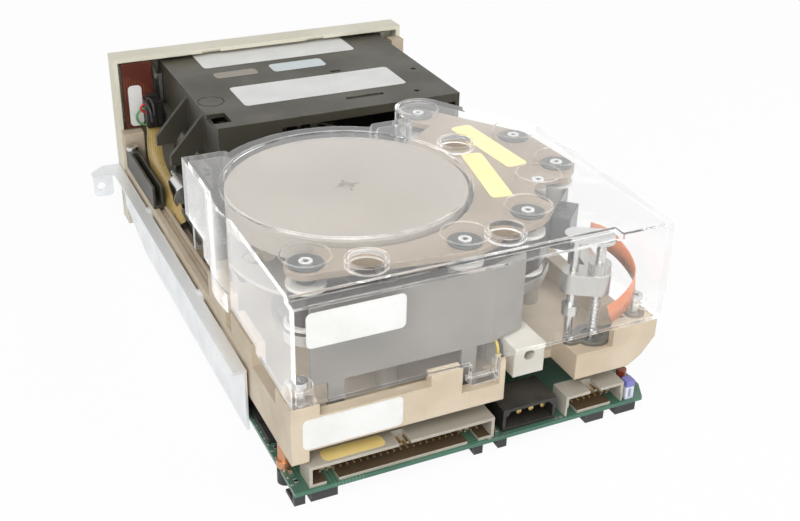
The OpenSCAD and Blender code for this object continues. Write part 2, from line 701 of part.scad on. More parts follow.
// Door-like handle on its hinge line, with a grip along the lower edge and two inner arms
arm_tip = [6.5, -5];
tip_pin_r = 1;
arm_w = 3;
grip_h = 6;
grip_share = 0.7;
module release_handle() row() color([0.45, 0.43, 0.4]) difference() {
    union() {
        block([door_x0, hinge_y - handle_t / 2, door_z0], [door_x1, hinge_y + handle_t / 2, hinge_z]);
        across(door_x0, door_x1, hinge_y, hinge_z, handle_t / 2 + slack);
        block([bay_x - bay_out * grip_share, hinge_y - handle_t / 2 - grip_out, door_z0 + handle_gap],
            [bay_x + bay_out * grip_share, hinge_y, door_z0 + grip_h]);
        both_sides() {
            in_yz(arm_x0, arm_t) slot_shape([hinge_y, hinge_z], [hinge_y, hinge_z] + arm_tip, arm_w / 2);
            across(bar_x0 + slack, arm_x0 + eps, hinge_y + arm_tip[0], hinge_z + arm_tip[1], tip_pin_r);
        }
    }
    across(door_x0 - eps, door_x1 + eps, hinge_y, hinge_z, hinge_r + run_gap);
}
module hinge_pin() row() color([0.75, 0.75, 0.76])
    across(door_x0 - handle_gap - pin_grip, door_x1 + handle_gap + pin_grip, hinge_y, hinge_z, hinge_r);

// Push button: cap through the face, flange behind it and a stem to its switch
module push_button(z) {
    block([button_x - button_w / 2, -bezel_d - button_out, z - button_h / 2],
        [button_x + button_w / 2, face_in + button_play + button_flange, z + button_h / 2]);
    block([button_x - button_w / 2 - button_flange, face_in + button_play, z - button_h / 2 - button_flange],
        [button_x + button_w / 2 + button_flange, face_in + button_play + button_flange, z + button_h / 2 + button_flange]);
    along(face_in + button_play, panel_y - panel_t - switch_h - stem_gap, button_x, z, stem_r);
}
stem_gap = 1.3;
module unload_button() row() color([0.5, 0.48, 0.45]) push_button(unload_z);
module density_button() row() color([0.55, 0.53, 0.5]) push_button(density_z);
pipe_r = 1.2;
module indicator_window() row() color([0.15, 0.05, 0.06]) {
    block([button_x - window_w / 2, -bezel_d, window_z], [button_x + window_w / 2, face_in + button_flange, window_z + window_h]);
    for (s = [-1, 1]) along(face_in, panel_y - panel_t, button_x + s * window_w / 4, window_z + window_h / 2, pipe_r);
}
module panel_board() row() color([0.45, 0.17, 0.1]) {
    block([panel_x0, panel_y - panel_t, panel_z0], [panel_x1, panel_y, panel_z1]);
    for (z = [unload_z, density_z]) block([button_x - switch_w / 2, panel_y - panel_t - switch_h, z - switch_w / 2],
        [button_x + switch_w / 2, panel_y - panel_t + eps, z + switch_w / 2]);
}
plug_x = [53.2, 61];
plug_z = [51.5, 64];
plug_d = 6.4;
plug_rib = 1.2;
module panel_plug() row() color([0.06, 0.06, 0.07]) {
    block([plug_x[0], panel_y, plug_z[0]], [plug_x[1], panel_y + plug_d, plug_z[1]]);
    for (k = [0:2]) block([plug_x[0] + plug_rib * (2 * k + 1), panel_y + plug_d - eps, plug_z[0] + plug_rib],
        [plug_x[0] + plug_rib * (2 * k + 2), panel_y + plug_d + plug_rib, plug_z[1] - plug_rib]);
    block([plug_x[0] + plug_rib, panel_y, plug_z[1] - eps], [plug_x[1] - plug_rib, panel_y + plug_d / 2, plug_z[1] + 2 * plug_rib]);
}
// Short wires: two bows at the plug and two risers beside the rear block
wire_r = 0.6;
green_bow = 4;
red_bow = 2.4;
riser_top = 41;
riser_gaps = [1.5, 2.9];
riser_x = [for (g = riser_gaps) wall_end_x - g];
module bow(y, z, r) translate([plug_x[1], y, z]) rotate([90, 0, 0]) rotate(-90)
    rotate_extrude(angle = 180) translate([r, 0]) circle(r = wire_r);
module lead_wires() row() color([0.3, 0.55, 0.3]) {
    bow(panel_y + plug_d / 2, plug_z[0] + green_bow + wire_r, green_bow);
    bow(panel_y + plug_d - wire_r, plug_z[1] - red_bow - wire_r, red_bow);
    for (x = riser_x) upright([x, power_y0 + screw_deep], board_top + power_h, riser_top, wire_r);
}
// Tan film flex: its route and the turn of its width at each point
film_route = [[57.6, 4, 51.2], [58.4, 8, 49.8], [60.6, 14, 47.4], [63, 22, 44.2], [64.6, 30, 42], [65.2, 38, 41],
    [65.5, 46, 40.2], [65.6, 54, 37.5], [65.6, 61, 33.5], [65.6, 68, 29.5]];
film_turns = [0, 8, 25, 42, 56, 66, 74, 80, 85, 88];
film_w = 7;
module film_flex() row() color([0.8, 0.68, 0.42]) ribbon(film_route, film_turns, film_w, film_t);

// Black cable channel on the casting's rail
channel_w = 4.7;
channel_x0 = half_w - channel_w;
channel_len = 49;
channel_top = 43.5;
channel_wall = 1.1;
channel_block = 9;
channel_screw_in = 2.4;
channel_screw_x = channel_x0 + channel_screw_in;
channel_screw_y = front_post_d + gap + channel_block / 2;
module cable_channel() row() color([0.09, 0.09, 0.1]) difference() {
    block([channel_x0, front_post_d + gap, rail_top], [half_w - slack, front_post_d + gap + channel_len, channel_top]);
    block([channel_x0 + channel_wall, front_post_d + channel_block, rail_top + channel_wall],
        [half_w - slack - channel_wall, front_post_d + channel_len + 2 * eps, channel_top + eps]);
    upright([channel_screw_x, channel_screw_y], channel_top - screw_deep - eps, channel_top + eps, screw_r);
}

// Receiver shell over the cartridge bay
rear_band = 4;
rear_return_share = 0.5;
rear_return_z = 60;
window_shares = [0.86, 0.83, 11];
mark_share = [0.885, 0.68];
mark_r = 6;
mark_w = 0.7;
mark_d = 0.4;
slot_d = 0.8;
top_slot_shares = [[-0.27, 0.86, 18], [-0.27, 0.5, 5]];
top_dot_shares = [[-0.9, 0.62], [-0.7, 0.9]];
dot_r = 1.3;
guide_w = 2.5;
guide_t = 1.3;
guide_y0 = 2;
gusset_in = 3.5;
module receiver_shell() row() color([0.13, 0.13, 0.14]) difference() {
    union() {
        block([bay_x - bay_out, bay_y0, bay_top - bay_wall], [bay_x + bay_out, bay_y1, bay_top]);
        block([bay_x - bay_out, bay_y1 - bay_wall, bay_top - rear_band], [bay_x + bay_out, bay_y1, bay_top]);
        block([bay_x + bay_out * rear_return_share, bay_y1 - bay_wall, rear_return_z], [bay_x + bay_out, bay_y1, bay_top]);
        both_sides() {
            block([bay_x + bay_half, bay_y0, shell_base], [bay_x + bay_out, bay_y1, bay_top]);
            for (z = [bar_z0 - gap - guide_t, bar_z1 + gap])
                block([bay_x + bay_out - eps, guide_y0, z], [bay_x + bay_out + guide_w, bay_y1 - guide_w, z + guide_t]);
        }
        for (y = gusset_y) in_xz(y + gusset_t, gusset_t) polygon([
            [bay_x + bay_out - eps, bay_top - gusset_t], [bay_x + bay_out, bay_top - gusset_t],
            [bay_x + bay_out + gusset_out, bay_top - gusset_t - gusset_drop],
            [bay_x + bay_out + gusset_out, bay_top - gusset_t - gusset_drop - gusset_lip],
            [bay_x + bay_out + 2 * gusset_in, bay_top - gusset_t - gusset_drop - gusset_lip],
            [bay_x + bay_out + gusset_in, bar_z1 + 2 * guide_t + gap], [bay_x + bay_out - eps, bar_z1 + 2 * guide_t + gap]]);
        for (y = foot_y) {
            block([bay_x + bay_half, y, deck_top], [bay_x + bay_out, y + foot_l, shell_base + eps]);
            block([bay_x + bay_half, y, deck_top], [bay_x + bay_out + foot_w, y + foot_l, deck_top + foot_t]);
            block([bay_x - bay_out, y, rail_top], [bay_x - bay_half, y + foot_l, shell_base + eps]);
            block([bay_x - bay_out - foot_w, y, rail_top], [bay_x - bay_half, y + foot_l, rail_top + foot_t]);
        }
    }
    for (s = [[left_foot_x, deck_top], [right_foot_x, rail_top]], y = foot_y)
        upright([s[0], y + foot_l / 2], s[1] - eps, s[1] + foot_t + eps, screw_r + slack);
    both_sides() in_yz(bay_x + bay_half - eps, bay_wall + 2 * eps) for (y = pin_y)
        slot_shape([y, lift_pin_z], [y, lift_pin_z + lift], pin_r + gap);
    translate([bay_x + bay_out * window_shares[0], bay_y0 + bay_len * window_shares[1], bay_top - bay_wall - eps])
        cube([window_shares[2], window_shares[2], bay_wall + 2 * eps], center = false);
    translate([bay_x + bay_out * mark_share[0], bay_y0 + bay_len * mark_share[1], bay_top - mark_d]) difference() {
        cylinder(r = mark_r, h = mark_d + eps);
        translate([0, 0, -eps]) cylinder(r = mark_r - mark_w, h = mark_d + 3 * eps);
    }
    for (s = top_slot_shares) translate([bay_x + bay_out * s[0] - s[2] / 2, bay_y0 + bay_len * s[1], bay_top - slot_d])
        cube([s[2], guide_w, slot_d + eps]);
    for (s = top_dot_shares) upright([bay_x + bay_out * s[0], bay_y0 + bay_len * s[1]], bay_top - bay_wall - eps, bay_top + eps, dot_r);
}

// Sheet-metal carriage that carries the cartridge, with four lift pins
carriage_y0 = bay_y0 + eps;
carriage_y1 = bay_y1 - bay_wall - gap;
carriage_side = 10;
hub_hole_r = 22.5;
carriage_hole_shares = [[0.6, 0.25], [-0.6, 0.25], [0.6, 0.75], [-0.6, 0.75]];
carriage_hole_r = 7;
module cartridge_carriage() row() color([0.7, 0.71, 0.72]) {
    difference() {
        block([bay_x - carriage_half, carriage_y0, seat_z - sheet_t], [bay_x + carriage_half, carriage_y1, seat_z]);
        upright(hub_at, seat_z - sheet_t - eps, seat_z + eps, hub_hole_r);
        for (s = carriage_hole_shares) upright([bay_x + s[0] * carriage_half, carriage_y0 + s[1] * (carriage_y1 - carriage_y0)],
            seat_z - sheet_t - eps, seat_z + eps, carriage_hole_r);
    }
    both_sides() {
        block([bay_x + carriage_half - sheet_t, carriage_y0, seat_z - sheet_t], [bay_x + carriage_half, carriage_y1, seat_z + carriage_side]);
        for (y = pin_y) across(bay_x + carriage_half - sheet_t, bay_x + bay_out + guide_w, y, lift_pin_z, pin_r);
    }
}

// Two bars beside the bay: their slanted slots lift the carriage's pins as they slide forward
fork_play = 0.6;
fork_wall = 1.6;
bar_y0 = hinge_y + arm_tip[0] - tip_pin_r - fork_play - fork_wall;
bar_y1 = 80;
fork_base = 68.5;
fork_front = 71.8;
fork_rear = 75;
slot_play = 0.15;
bar_slot_r = pin_r + slot_play;
module lift_bars() row() color([0.62, 0.63, 0.64]) both_sides() in_yz(bar_x0, bar_t) difference() {
    union() {
        translate([bar_y0, bar_z0]) square([bar_y1 - bar_y0, bar_z1 - bar_z0]);
        translate([bar_y0, bar_z0]) square([2 * (tip_pin_r + fork_play + fork_wall), fork_base - bar_z0]);
        translate([bar_y0, bar_z0]) square([fork_wall, fork_front - bar_z0]);
        translate([bar_y0 + 2 * (tip_pin_r + fork_play) + fork_wall, bar_z0]) square([fork_wall, fork_rear - bar_z0]);
    }
    for (y = pin_y) slot_shape([y, lift_pin_z], [y + bar_travel, lift_pin_z + lift], bar_slot_r);
}

// Flat reel motor: fixed base with stator and bearing
motor_rim = 2;
module motor_base(p) difference() {
    union() {
        upright(p, deck_top, deck_top + motor_base_t, rotor_r + motor_rim);
        upright(p, deck_top, stator_top, stator_r);
        upright(p, deck_top, bearing_top, bearing_r);
    }
    upright(p, deck_top + motor_base_t / 2, bearing_top + eps, spindle_r + run_gap);
}
// Turning cup over the stator, on its spindle
module motor_rotor(p) {
    upright(p, rotor_z, rotor_z + rotor_t, rotor_r);
    upright(p, deck_top + motor_base_t, rotor_z + eps, spindle_r);
    difference() {
        upright(p, skirt_z, rotor_z + eps, rotor_r);
        upright(p, skirt_z - eps, rotor_z, rotor_r - skirt_t);
    }
}
module supply_motor() row() color([0.7, 0.71, 0.72]) motor_base(hub_at);
module takeup_motor() row() color([0.7, 0.71, 0.72]) motor_base(reel_at);

drive_r = 15.5;
drive_in = 10.5;
drive_low = 2.4;
tooth_h = 2;
drive_base = seat_z - drive_low;
drive_tip = seat_z + tooth_h;
teeth = 12;
tooth_gap = 3.4;
module supply_hub() row() color([0.55, 0.56, 0.57]) {
    motor_rotor(hub_at);
    upright(hub_at, rotor_z + rotor_t - eps, drive_base, drive_r + skirt_t / 2);
    upright(hub_at, drive_base - eps, drive_tip, spindle_r);
    difference() {
        upright(hub_at, drive_base - eps, drive_tip, drive_r);
        upright(hub_at, drive_base, drive_tip + eps, drive_in);
        for (i = [0:teeth - 1]) translate([hub_at[0], hub_at[1], seat_z]) rotate(i * 360 / teeth)
            translate([drive_in - eps, -tooth_gap / 2, 0]) cube([drive_r, tooth_gap, drive_tip - seat_z + eps]);
    }
}

column_r = 12;
module takeup_rotor() row() color([0.55, 0.56, 0.57]) {
    motor_rotor(reel_at);
    upright(reel_at, rotor_z + rotor_t - eps, guide_z0 - flange_t, column_r);
}
// Take-up reel: plain lower flange, hub, ribbed upper flange with a cross mark at its centre
rib_t = 1.2;
ribs = 12;
reel_rim_t = 1.5;
window_r = 6;
cross_r = 5;
cross_t = 0.8;
module take_up_reel() row() color([0.72, 0.7, 0.68]) difference() {
    union() {
        upright(reel_at, guide_z0 - flange_t, guide_z0, reel_r);
        upright(reel_at, guide_z0 - eps, reel_top, hub_r);
        upright(reel_at, reel_top - reel_skin, reel_top, reel_r);
        difference() {
            upright(reel_at, guide_z1, reel_top - reel_skin / 2, reel_r);
            upright(reel_at, guide_z1 - eps, reel_top, reel_r - reel_rim_t);
        }
        for (i = [0:ribs - 1]) translate([reel_at[0], reel_at[1], guide_z1]) rotate((i + 0.5) * 360 / ribs)
            translate([hub_r - eps, -rib_t / 2, 0]) cube([reel_r - hub_r - reel_rim_t / 2, rib_t, reel_top - reel_skin / 2 - guide_z1]);
    }
    for (i = [0:5]) translate([reel_at[0], reel_at[1], guide_z0 - flange_t - eps]) rotate(i * 60)
        translate([(reel_r + hub_r) / 2, 0, 0]) cylinder(r = window_r, h = flange_t + 2 * eps);
    for (a = [0, 90]) translate([reel_at[0], reel_at[1], reel_top - cross_t]) rotate(a)
        translate([-cross_r, -cross_t / 2, 0]) cube([2 * cross_r, cross_t, cross_t + eps]);
    upright(reel_at, reel_top - reel_skin, reel_top + eps, spindle_r);
}

// Leader tape: straight runs on the rollers' outer sides, joined by arcs round them
function run_side(i) = left_of(unit(rollers[i] - rollers[i + 1]));
hub_dir = reel_at - rollers[0];
hub_tape_r = hub_r + gap + film_t;
hub_ang = atan2(hub_dir[1], hub_dir[0]) + acos((tape_r + film_t - hub_tape_r) / norm(hub_dir));
hub_side = [cos(hub_ang), sin(hub_ang)];
leader_end = 9;
run_share = 0.8;
module tape_run(a, b) translate(a) rotate(atan2(b[1] - a[1], b[0] - a[0]))
    translate([0, film_t * (1 - run_share) / 2]) square([norm(b - a), film_t * run_share]);
arc_lap = 1;
module tape_arc(c, a0, a1) translate(c) rotate(a0 - arc_lap) difference() {
    circle(r = tape_r + film_t);
    circle(r = tape_r);
    rotate(a1 - a0 + 2 * arc_lap) translate([-2 * tape_r, 0]) square([4 * tape_r, 2 * tape_r]);
    translate([-2 * tape_r, -2 * tape_r]) square([4 * tape_r, 2 * tape_r]);
}
function ang(v) = atan2(v[1], v[0]);
function above(a, b) = a < b ? a + 360 : a;
module leader_tape() row() color([0.2, 0.16, 0.13]) translate([0, 0, tape_z0]) linear_extrude(tape_z1 - tape_z0) {
    for (i = [0:4]) tape_run(rollers[i + 1] + run_side(i) * tape_r, rollers[i] + run_side(i) * tape_r);
    tape_run(rollers[5] + run_side(4) * tape_r - unit(rollers[4] - rollers[5]) * leader_end, rollers[5] + run_side(4) * tape_r);
    tape_run(rollers[0] + hub_side * tape_r, reel_at + hub_side * (hub_tape_r - film_t));
    tape_arc(rollers[0], ang(hub_side), above(ang(run_side(0)), ang(hub_side)));
    for (i = [1:4]) tape_arc(rollers[i], ang(run_side(i - 1)), above(ang(run_side(i)), ang(run_side(i - 1))));
}

// Boomerang outline of the two guide plates, from roller to roller round the reel
module plate_outline() difference() {
    union() {
        polygon(concat(rollers, [[rollers[5][0], nook_share * body_len + cover_wall + plate_clear], reel_at]));
        for (i = [0:4]) slot_shape(rollers[i], rollers[i + 1], plate_band);
    }
    translate(reel_at) circle(r = reel_r + plate_clear);
    translate(head_at) circle(r = head_notch_r);
}
spacers = [at([0.387, 0.894]), at([-0.19, 0.879]), at([-0.79, 0.657]), boss_at];
module upper_guide_plate() row() color([0.7, 0.62, 0.53]) translate([0, 0, plate_z]) linear_extrude(plate_t) difference() {
    plate_outline();
    for (p = rollers) translate(p) circle(r = shaft_r + slack);
}
module lower_guide_plate() row() color([0.62, 0.62, 0.62]) translate([0, 0, lower_z]) linear_extrude(lower_t) plate_outline();

// Posts: from the deck to the lower plate, spacers between the plates, the buckle arm's pivot
post_r = 4;
spacer_r = 3.5;
buckle_at = at([-0.7735, 0.4156]);
buckle_z = 60;
buckle_t = 3;
buckle_post_r = 3.4;
module guide_posts() row() color([0.74, 0.72, 0.66]) {
    for (p = spacers) {
        upright(p, deck_top, lower_z, post_r);
        upright(p, lower_top, plate_z, spacer_r);
    }
    upright(buckle_at, deck_top, buckle_z - gap, buckle_post_r);
    upright(buckle_at, deck_top, buckle_z + buckle_t + gap, shaft_r);
}

// Guide roller: a spool with two rims, bored for its fixed shaft
module guide_roller(i) row() color([0.78, 0.78, 0.76]) difference() {
    union() {
        upright(rollers[i], guide_z0 - rim_t, guide_z1 + rim_t, roller_r);
        upright(rollers[i], guide_z0 - rim_t, guide_z0, rim_r);
        upright(rollers[i], guide_z1, guide_z1 + rim_t, rim_r);
    }
    upright(rollers[i], guide_z0 - rim_t - eps, guide_z1 + rim_t + eps, shaft_r + run_gap);
}
module guide_roller_1() guide_roller(0);
module guide_roller_2() guide_roller(1);
module guide_roller_3() guide_roller(2);
module guide_roller_4() guide_roller(3);
module guide_roller_5() guide_roller(4);
module guide_roller_6() guide_roller(5);

// Fixed shafts with their collars and dark caps
module roller_shafts() row() color([0.28, 0.3, 0.3]) for (p = rollers) {
    upright(p, lower_top, plate_top + cap_t, shaft_r);
    upright(p, lower_top, guide_z0 - rim_t - gap, spacer_r);
    upright(p, guide_z1 + rim_t + gap, plate_z, spacer_r);
    upright(p, plate_top, plate_top + cap_t, cap_r);
}
star_r = 2.4;
star_h = 0.7;
star_recess = 1.3;
module star_screw(z) difference() {
    translate([0, 0, z]) cylinder(r = star_r, h = star_h);
    for (a = [0, 60, 120]) rotate(a) translate([-star_recess, -cross_w / 2, z + star_h / 2])
        cube([2 * star_recess, cross_w, star_h]);
}
module star_screws() row() color([0.85, 0.85, 0.84]) {
    for (p = rollers) translate(p) star_screw(plate_top + cap_t);
    translate(boss_at) star_screw(plate_top);
}

// Grey wall behind the rear rollers, on legs
shroud_y = at([0, 0.951])[1];
shroud_t = 1.5;
shroud_x = [-0.083 * half_w, 0.86 * half_w];
shroud_z = [42, 72];
shroud_skew = 17;
shroud_return = 15;
shroud_leg_w = 6;
module rear_shroud() row() color([0.6, 0.6, 0.61]) {
    block([shroud_x[0], shroud_y, shroud_z[0]], [shroud_x[1], shroud_y + shroud_t, shroud_z[1]]);
    translate([shroud_x[0], shroud_y + shroud_t, shroud_z[0]]) rotate(180 + shroud_skew) cube([shroud_return, shroud_t, shroud_z[1] - shroud_z[0]]);
    for (x = [shroud_x[1] - 2 * shroud_leg_w, shroud_x[0] + shroud_leg_w]) block([x, shroud_y, deck_top],
        [x + shroud_leg_w, shroud_y + shroud_t, shroud_z[0] + eps]);
}

// Read and write head, its carriage on the lead screw and guide rod
head_groove = 0.6;
module tape_head() row() color([0.2, 0.2, 0.22]) translate([head_at[0], head_at[1], tape_mid]) rotate(head_turn) difference() {
    translate([-head_w / 2, -head_deep / 2, -head_tall / 2]) cube([head_w, head_deep, head_tall]);
    for (s = [-1, 0, 1]) translate([s * head_w / 4 - head_groove, -head_deep / 2 - eps, -head_tall])
        cube([2 * head_groove, eps + head_groove, 2 * head_tall]);
}
arm_half = 3.4;
head_back = head_at + head_side * head_deep / 2;
module head_carriage() row() color([0.58, 0.58, 0.6]) {
    difference() {
        union() {
            translate([0, 0, carriage_z0]) linear_extrude(carriage_z1 - carriage_z0) {
                slot_shape(screw_at, rod_at, nut_r);
                difference() {
                    slot_shape(screw_at, head_back, arm_half);
                    translate(head_at) rotate(head_turn) translate([-head_w, -head_deep / 2]) square([2 * head_w, head_deep]);
                    translate(head_at) rotate(head_turn) translate([-head_w, -head_w]) square([2 * head_w, head_w]);
                }
            }
            upright(screw_at, carriage_z1 - eps, carriage_z1 + nut_h, knob_r);
        }
        upright(screw_at, carriage_z0 - eps, carriage_z1 + nut_h + eps, lead_r + run_gap);
        upright(rod_at, carriage_z0 - eps, carriage_z1 + eps, rod_r + run_gap);
        for (i = [0:17]) translate([screw_at[0], screw_at[1], carriage_z1 + eps]) rotate(i * 20)
            translate([knob_r - film_t, -film_t, 0]) cube([2 * film_t, 2 * film_t, nut_h]);
    }
}
thread_deep = 0.35;
core_r = lead_r - thread_deep;
bush_share = 0.6;
thread_pitch = 1.6;
module lead_screw() row() color([0.8, 0.8, 0.8]) {
    upright(screw_at, stepper_z0 + bridge_t, bridge_z + bridge_t, core_r);
    for (z = [stepper_z1 + thread_pitch:thread_pitch:bridge_z - 2 * thread_pitch]) upright(screw_at, z, z + thread_pitch / 2, lead_r);
}
module stepper_motor() row() color([0.72, 0.7, 0.62]) difference() {
    union() {
        upright(screw_at, stepper_z0, stepper_z1, stepper_r);
        translate([0, 0, block_low]) linear_extrude(stepper_z1 - block_low)
            slot_shape(screw_at - [ear_reach, 0], screw_at + [ear_reach, 0], ear_r);
    }
    upright(screw_at, stepper_z0 + bridge_t / 2, stepper_z1 + eps, core_r + run_gap);
    upright(screw_at, stepper_z1 - bridge_t / 2, stepper_z1 + eps, stepper_r * bush_share);
    for (s = [-1, 1]) upright(screw_at + [s * ear_reach, 0], block_low - eps, stepper_z1 + eps, core_r);
}
// Fixed guide rod with a collar, and the bridge that steadies the top of the lead screw
module guide_rod() row() color([0.76, 0.74, 0.7]) {
    upright(rod_at, block_low, bridge_z + eps, rod_r);
    upright(rod_at, collar_z, collar_z + nut_h, 2 * rod_r);
    difference() {
        translate([0, 0, bridge_z]) linear_extrude(bridge_t) slot_shape(screw_at, rod_at, nut_r);
        upright(screw_at, bridge_z - eps, bridge_z + bridge_t + eps, core_r + run_gap);
    }
}
// Orange flex from the head's side to the rear corner
head_route = [[-61.5, 196, 62], [-64, 202, 62], [-66, 209, 60], [-66.5, 216, 57], [-65, 221.5, 54], [-61, 225, 51],
    [-56, 226.5, 48], [-51, 227, 46]];
head_turns = [90, 90, 88, 85, 82, 80, 80, 80];
flex_w = 8;
module head_flex() row() color([0.78, 0.4, 0.2]) ribbon(head_route, head_turns, flex_w, film_t);

// Arm that holds the leader's end at the bay's rear
buckle_vec = [9, -4.2];
buckle_end_r = 1.2;
buckle_hub_r = 3.2;
module buckle_arm() row() color([0.68, 0.66, 0.6]) translate([0, 0, buckle_z]) difference() {
    linear_extrude(buckle_t) {
        translate(buckle_at) circle(r = buckle_hub_r);
        slot_shape(buckle_at, buckle_at + buckle_vec, buckle_end_r);
    }
    translate([buckle_at[0], buckle_at[1], -eps]) cylinder(r = shaft_r + run_gap, h = buckle_t + 2 * eps);
}

// Lock solenoid lying beside the bay, its plunger and the bracket behind it
coil_r = 6;
coil_y = [46, 59];
coil_z = 38;
disc_r = 6.7;
disc_t = 1.5;
plunger_r = 2.4;
plunger_y = [36, 55];
module lock_solenoid() row() color([0.75, 0.76, 0.78]) difference() {
    union() {
        along(coil_y[0], coil_y[1], latch_x, coil_z, coil_r);
        along(coil_y[1] - eps, coil_y[1] + disc_t, latch_x, coil_z, disc_r);
        block([latch_x - coil_r, coil_y[0], deck_top], [latch_x + coil_r, coil_y[1], coil_z - coil_r / 2]);
    }
    along(coil_y[0] - eps, coil_y[1] - disc_t, latch_x, coil_z, plunger_r + run_gap);
}
module solenoid_plunger() row() color([0.6, 0.6, 0.62]) {
    along(plunger_y[0], plunger_y[1], latch_x, coil_z, plunger_r);
    along(plunger_y[0], plunger_y[0] + disc_t, latch_x, coil_z, plunger_r + disc_t);
}
latch_z = 33.2;
latch_t = 1.5;
latch_y = [62.5, 97];
latch_half = 4.6;
latch_screw_y = [74, 88];
latch_tab_h = 12;
module latch_bracket() row() color([0.5, 0.51, 0.53]) difference() {
    union() {
        block([latch_x - latch_half, latch_y[0], latch_z], [latch_x + latch_half, latch_y[1], latch_z + latch_t]);
        for (y = [latch_y[0], latch_y[1] - latch_t]) block([latch_x - latch_half, y, deck_top], [latch_x + latch_half, y + latch_t, latch_z + eps]);
        block([latch_x - latch_half, latch_y[0], latch_z], [latch_x - latch_half + latch_t, latch_y[0] + latch_tab_h / 2, latch_z + latch_tab_h]);
    }
    for (y = latch_screw_y) upright([latch_x, y], latch_z - eps, latch_z + latch_t + eps, screw_r + slack);
}

// Pale block with a round hole, on a foot at the deck's rear edge
rear_block_x = [-24.4, -12];
rear_block_y = [207.6, 227.5];
rear_block_z = [29, 41];
rear_hole_r = 2.1;
rear_hole_deep = 12;
module rear_block() row() color([0.8, 0.8, 0.78]) difference() {
    union() {
        block([rear_block_x[0], rear_block_y[0], rear_block_z[0]], [rear_block_x[1], rear_block_y[1], rear_block_z[1]]);
        block([rear_block_x[0], rear_block_y[0], deck_top], [rear_block_x[1], bay_cut_y, rear_block_z[0] + eps]);
    }
    along(rear_block_y[1] - rear_hole_deep, rear_block_y[1] + eps, (rear_block_x[0] + rear_block_x[1]) / 2,
        (rear_block_z[0] + rear_block_z[1]) / 2 + rear_hole_r, rear_hole_r);
}

// Outline of the clear cover, inset by o
diag_side = [cos(diag_ang), sin(diag_ang)];
function lobe_point(o) = lobe_at + diag_side * (lobe_r - o);
function diag_y(o) = lobe_point(o)[1] - diag_side[0] * (-half_w + o - lobe_point(o)[0]) / diag_side[1];
module cover_outline(o) {
    polygon([[half_w - o, tab_share * body_len + o], [half_w - o, cover_rear - o], [-half_w + o, cover_rear - o],
        [-half_w + o, diag_y(o)], lobe_point(o), lobe_at, [lobe_at[0] + lobe_r - o, lobe_at[1]],
        [lobe_at[0] + lobe_r - o, nook_share * body_len + o], [nook_x_share * half_w - o, nook_share * body_len + o], reel_at, [tab_x_share * half_w + o / 2, tab_share * body_len + o]]);
    translate(reel_at) circle(r = cover_arc_r - o);
    translate(lobe_at) circle(r = lobe_r - o);
}
module dust_cover() row() color([0.85, 0.89, 0.93, 0.35]) difference() {
    union() {
        difference() {
            translate([0, 0, cover_base]) linear_extrude(cover_top - cover_base) cover_outline(0);
            translate([0, 0, cover_base - eps]) linear_extrude(cover_top - cover_wall - cover_base + eps) cover_outline(cover_wall);
            block([ledge_x0, cover_rear - ledge_w, cover_top - ledge_d], [half_w + eps, cover_rear + eps, cover_top + eps]);
        }
        block([ledge_x0 - cover_wall, cover_rear - ledge_w - cover_wall, cover_top - ledge_d - cover_wall],
            [half_w - cover_wall / 2, cover_rear - cover_wall / 2, cover_top - ledge_d]);
        for (p = access_at) upright(p, cover_top - cover_wall - collar_h, cover_top + bead_h, access_r + collar_t);
        difference() {
            upright(reel_at, cover_top - eps, cover_top + bead_h, bead_r + bead_w);
            upright(reel_at, cover_top - 2 * eps, cover_top + bead_h + eps, bead_r);
        }
        for (c = cover_screws) upright(c[0], c[1], c[1] + cover_boss_h, cover_boss_r);
        block([(notch_x0 + notch_x1 - clip_w) / 2, cover_rear - cover_wall, cover_base - clip_drop],
            [(notch_x0 + notch_x1 + clip_w) / 2, cover_rear, cover_base + eps]);
        block([(notch_x0 + notch_x1 - clip_w) / 2, cover_rear - cover_wall - clip_lip, cover_base - clip_drop],
            [(notch_x0 + notch_x1 + clip_w) / 2, cover_rear - cover_wall + eps, cover_base - clip_drop + clip_lip]);
    }
    for (p = access_at) upright(p, cover_top - 2 * cover_wall, cover_top + 2 * bead_h, access_r);
    for (c = cover_screws) upright(c[0], c[1] - eps, c[1] + cover_boss_h + eps, screw_r + slack);
    for (s = edge_steps) block([half_w - cover_wall - eps, -eps, cover_base - eps], [half_w + eps, s[0] * body_len, s[1]]);
    block([lobe_at[0] - 2 * lobe_r, lobe_at[1] - 2 * lobe_r, cover_base - eps],
        [lobe_at[0] + 2 * lobe_r, lobe_at[1] - spacer_r, guide_z1 + 2 * rim_t]);
}

// Bare stickers, as shares: middle in x and y, width and height
sticker_r = 2;
top_sticker_shares = [[-0.046, 0.0215, 1.05, 0.31], [-0.088, 0.244, 1.06, 0.325]];
strip_shares = [[0.32, 0.12, 0.28, 0.1], [-0.1, 0.117, 0.36, 0.14]];
module plate_sticker(p, z, w, h, a = 0) translate([p[0], p[1], z]) rotate(a) linear_extrude(sticker_t) rounded(w, h, sticker_r);
module rear_sticker(x, z, w, h, y) in_xz(y + sticker_t, sticker_t) translate([x, z]) rounded(w, h, sticker_r);
cover_sticker = [50, 70, 34.6, 13];
casting_sticker = [50, 28.3, 36.6, 12];
panel_sticker = [64.4, 61, 6.4, 20];
module white_stickers() row() color([0.93, 0.93, 0.92]) {
    for (s = top_sticker_shares) plate_sticker(at(s), bay_top, s[2] * half_w, s[3] * half_w);
    for (s = strip_shares) plate_sticker(at(s), bay_top, s[2] * half_w, s[3] * half_w);
    rear_sticker(cover_sticker[0], cover_sticker[1], cover_sticker[2], cover_sticker[3], cover_rear);
    rear_sticker(casting_sticker[0], casting_sticker[1], casting_sticker[2], casting_sticker[3], rear_y);
    rear_sticker(panel_sticker[0], panel_sticker[1], panel_sticker[2], panel_sticker[3], panel_y);
}
yellow_plate_shares = [[-0.65, 0.606, 0.13, 0.61, 4], [-0.452, 0.712, 0.12, 0.56, -11]];
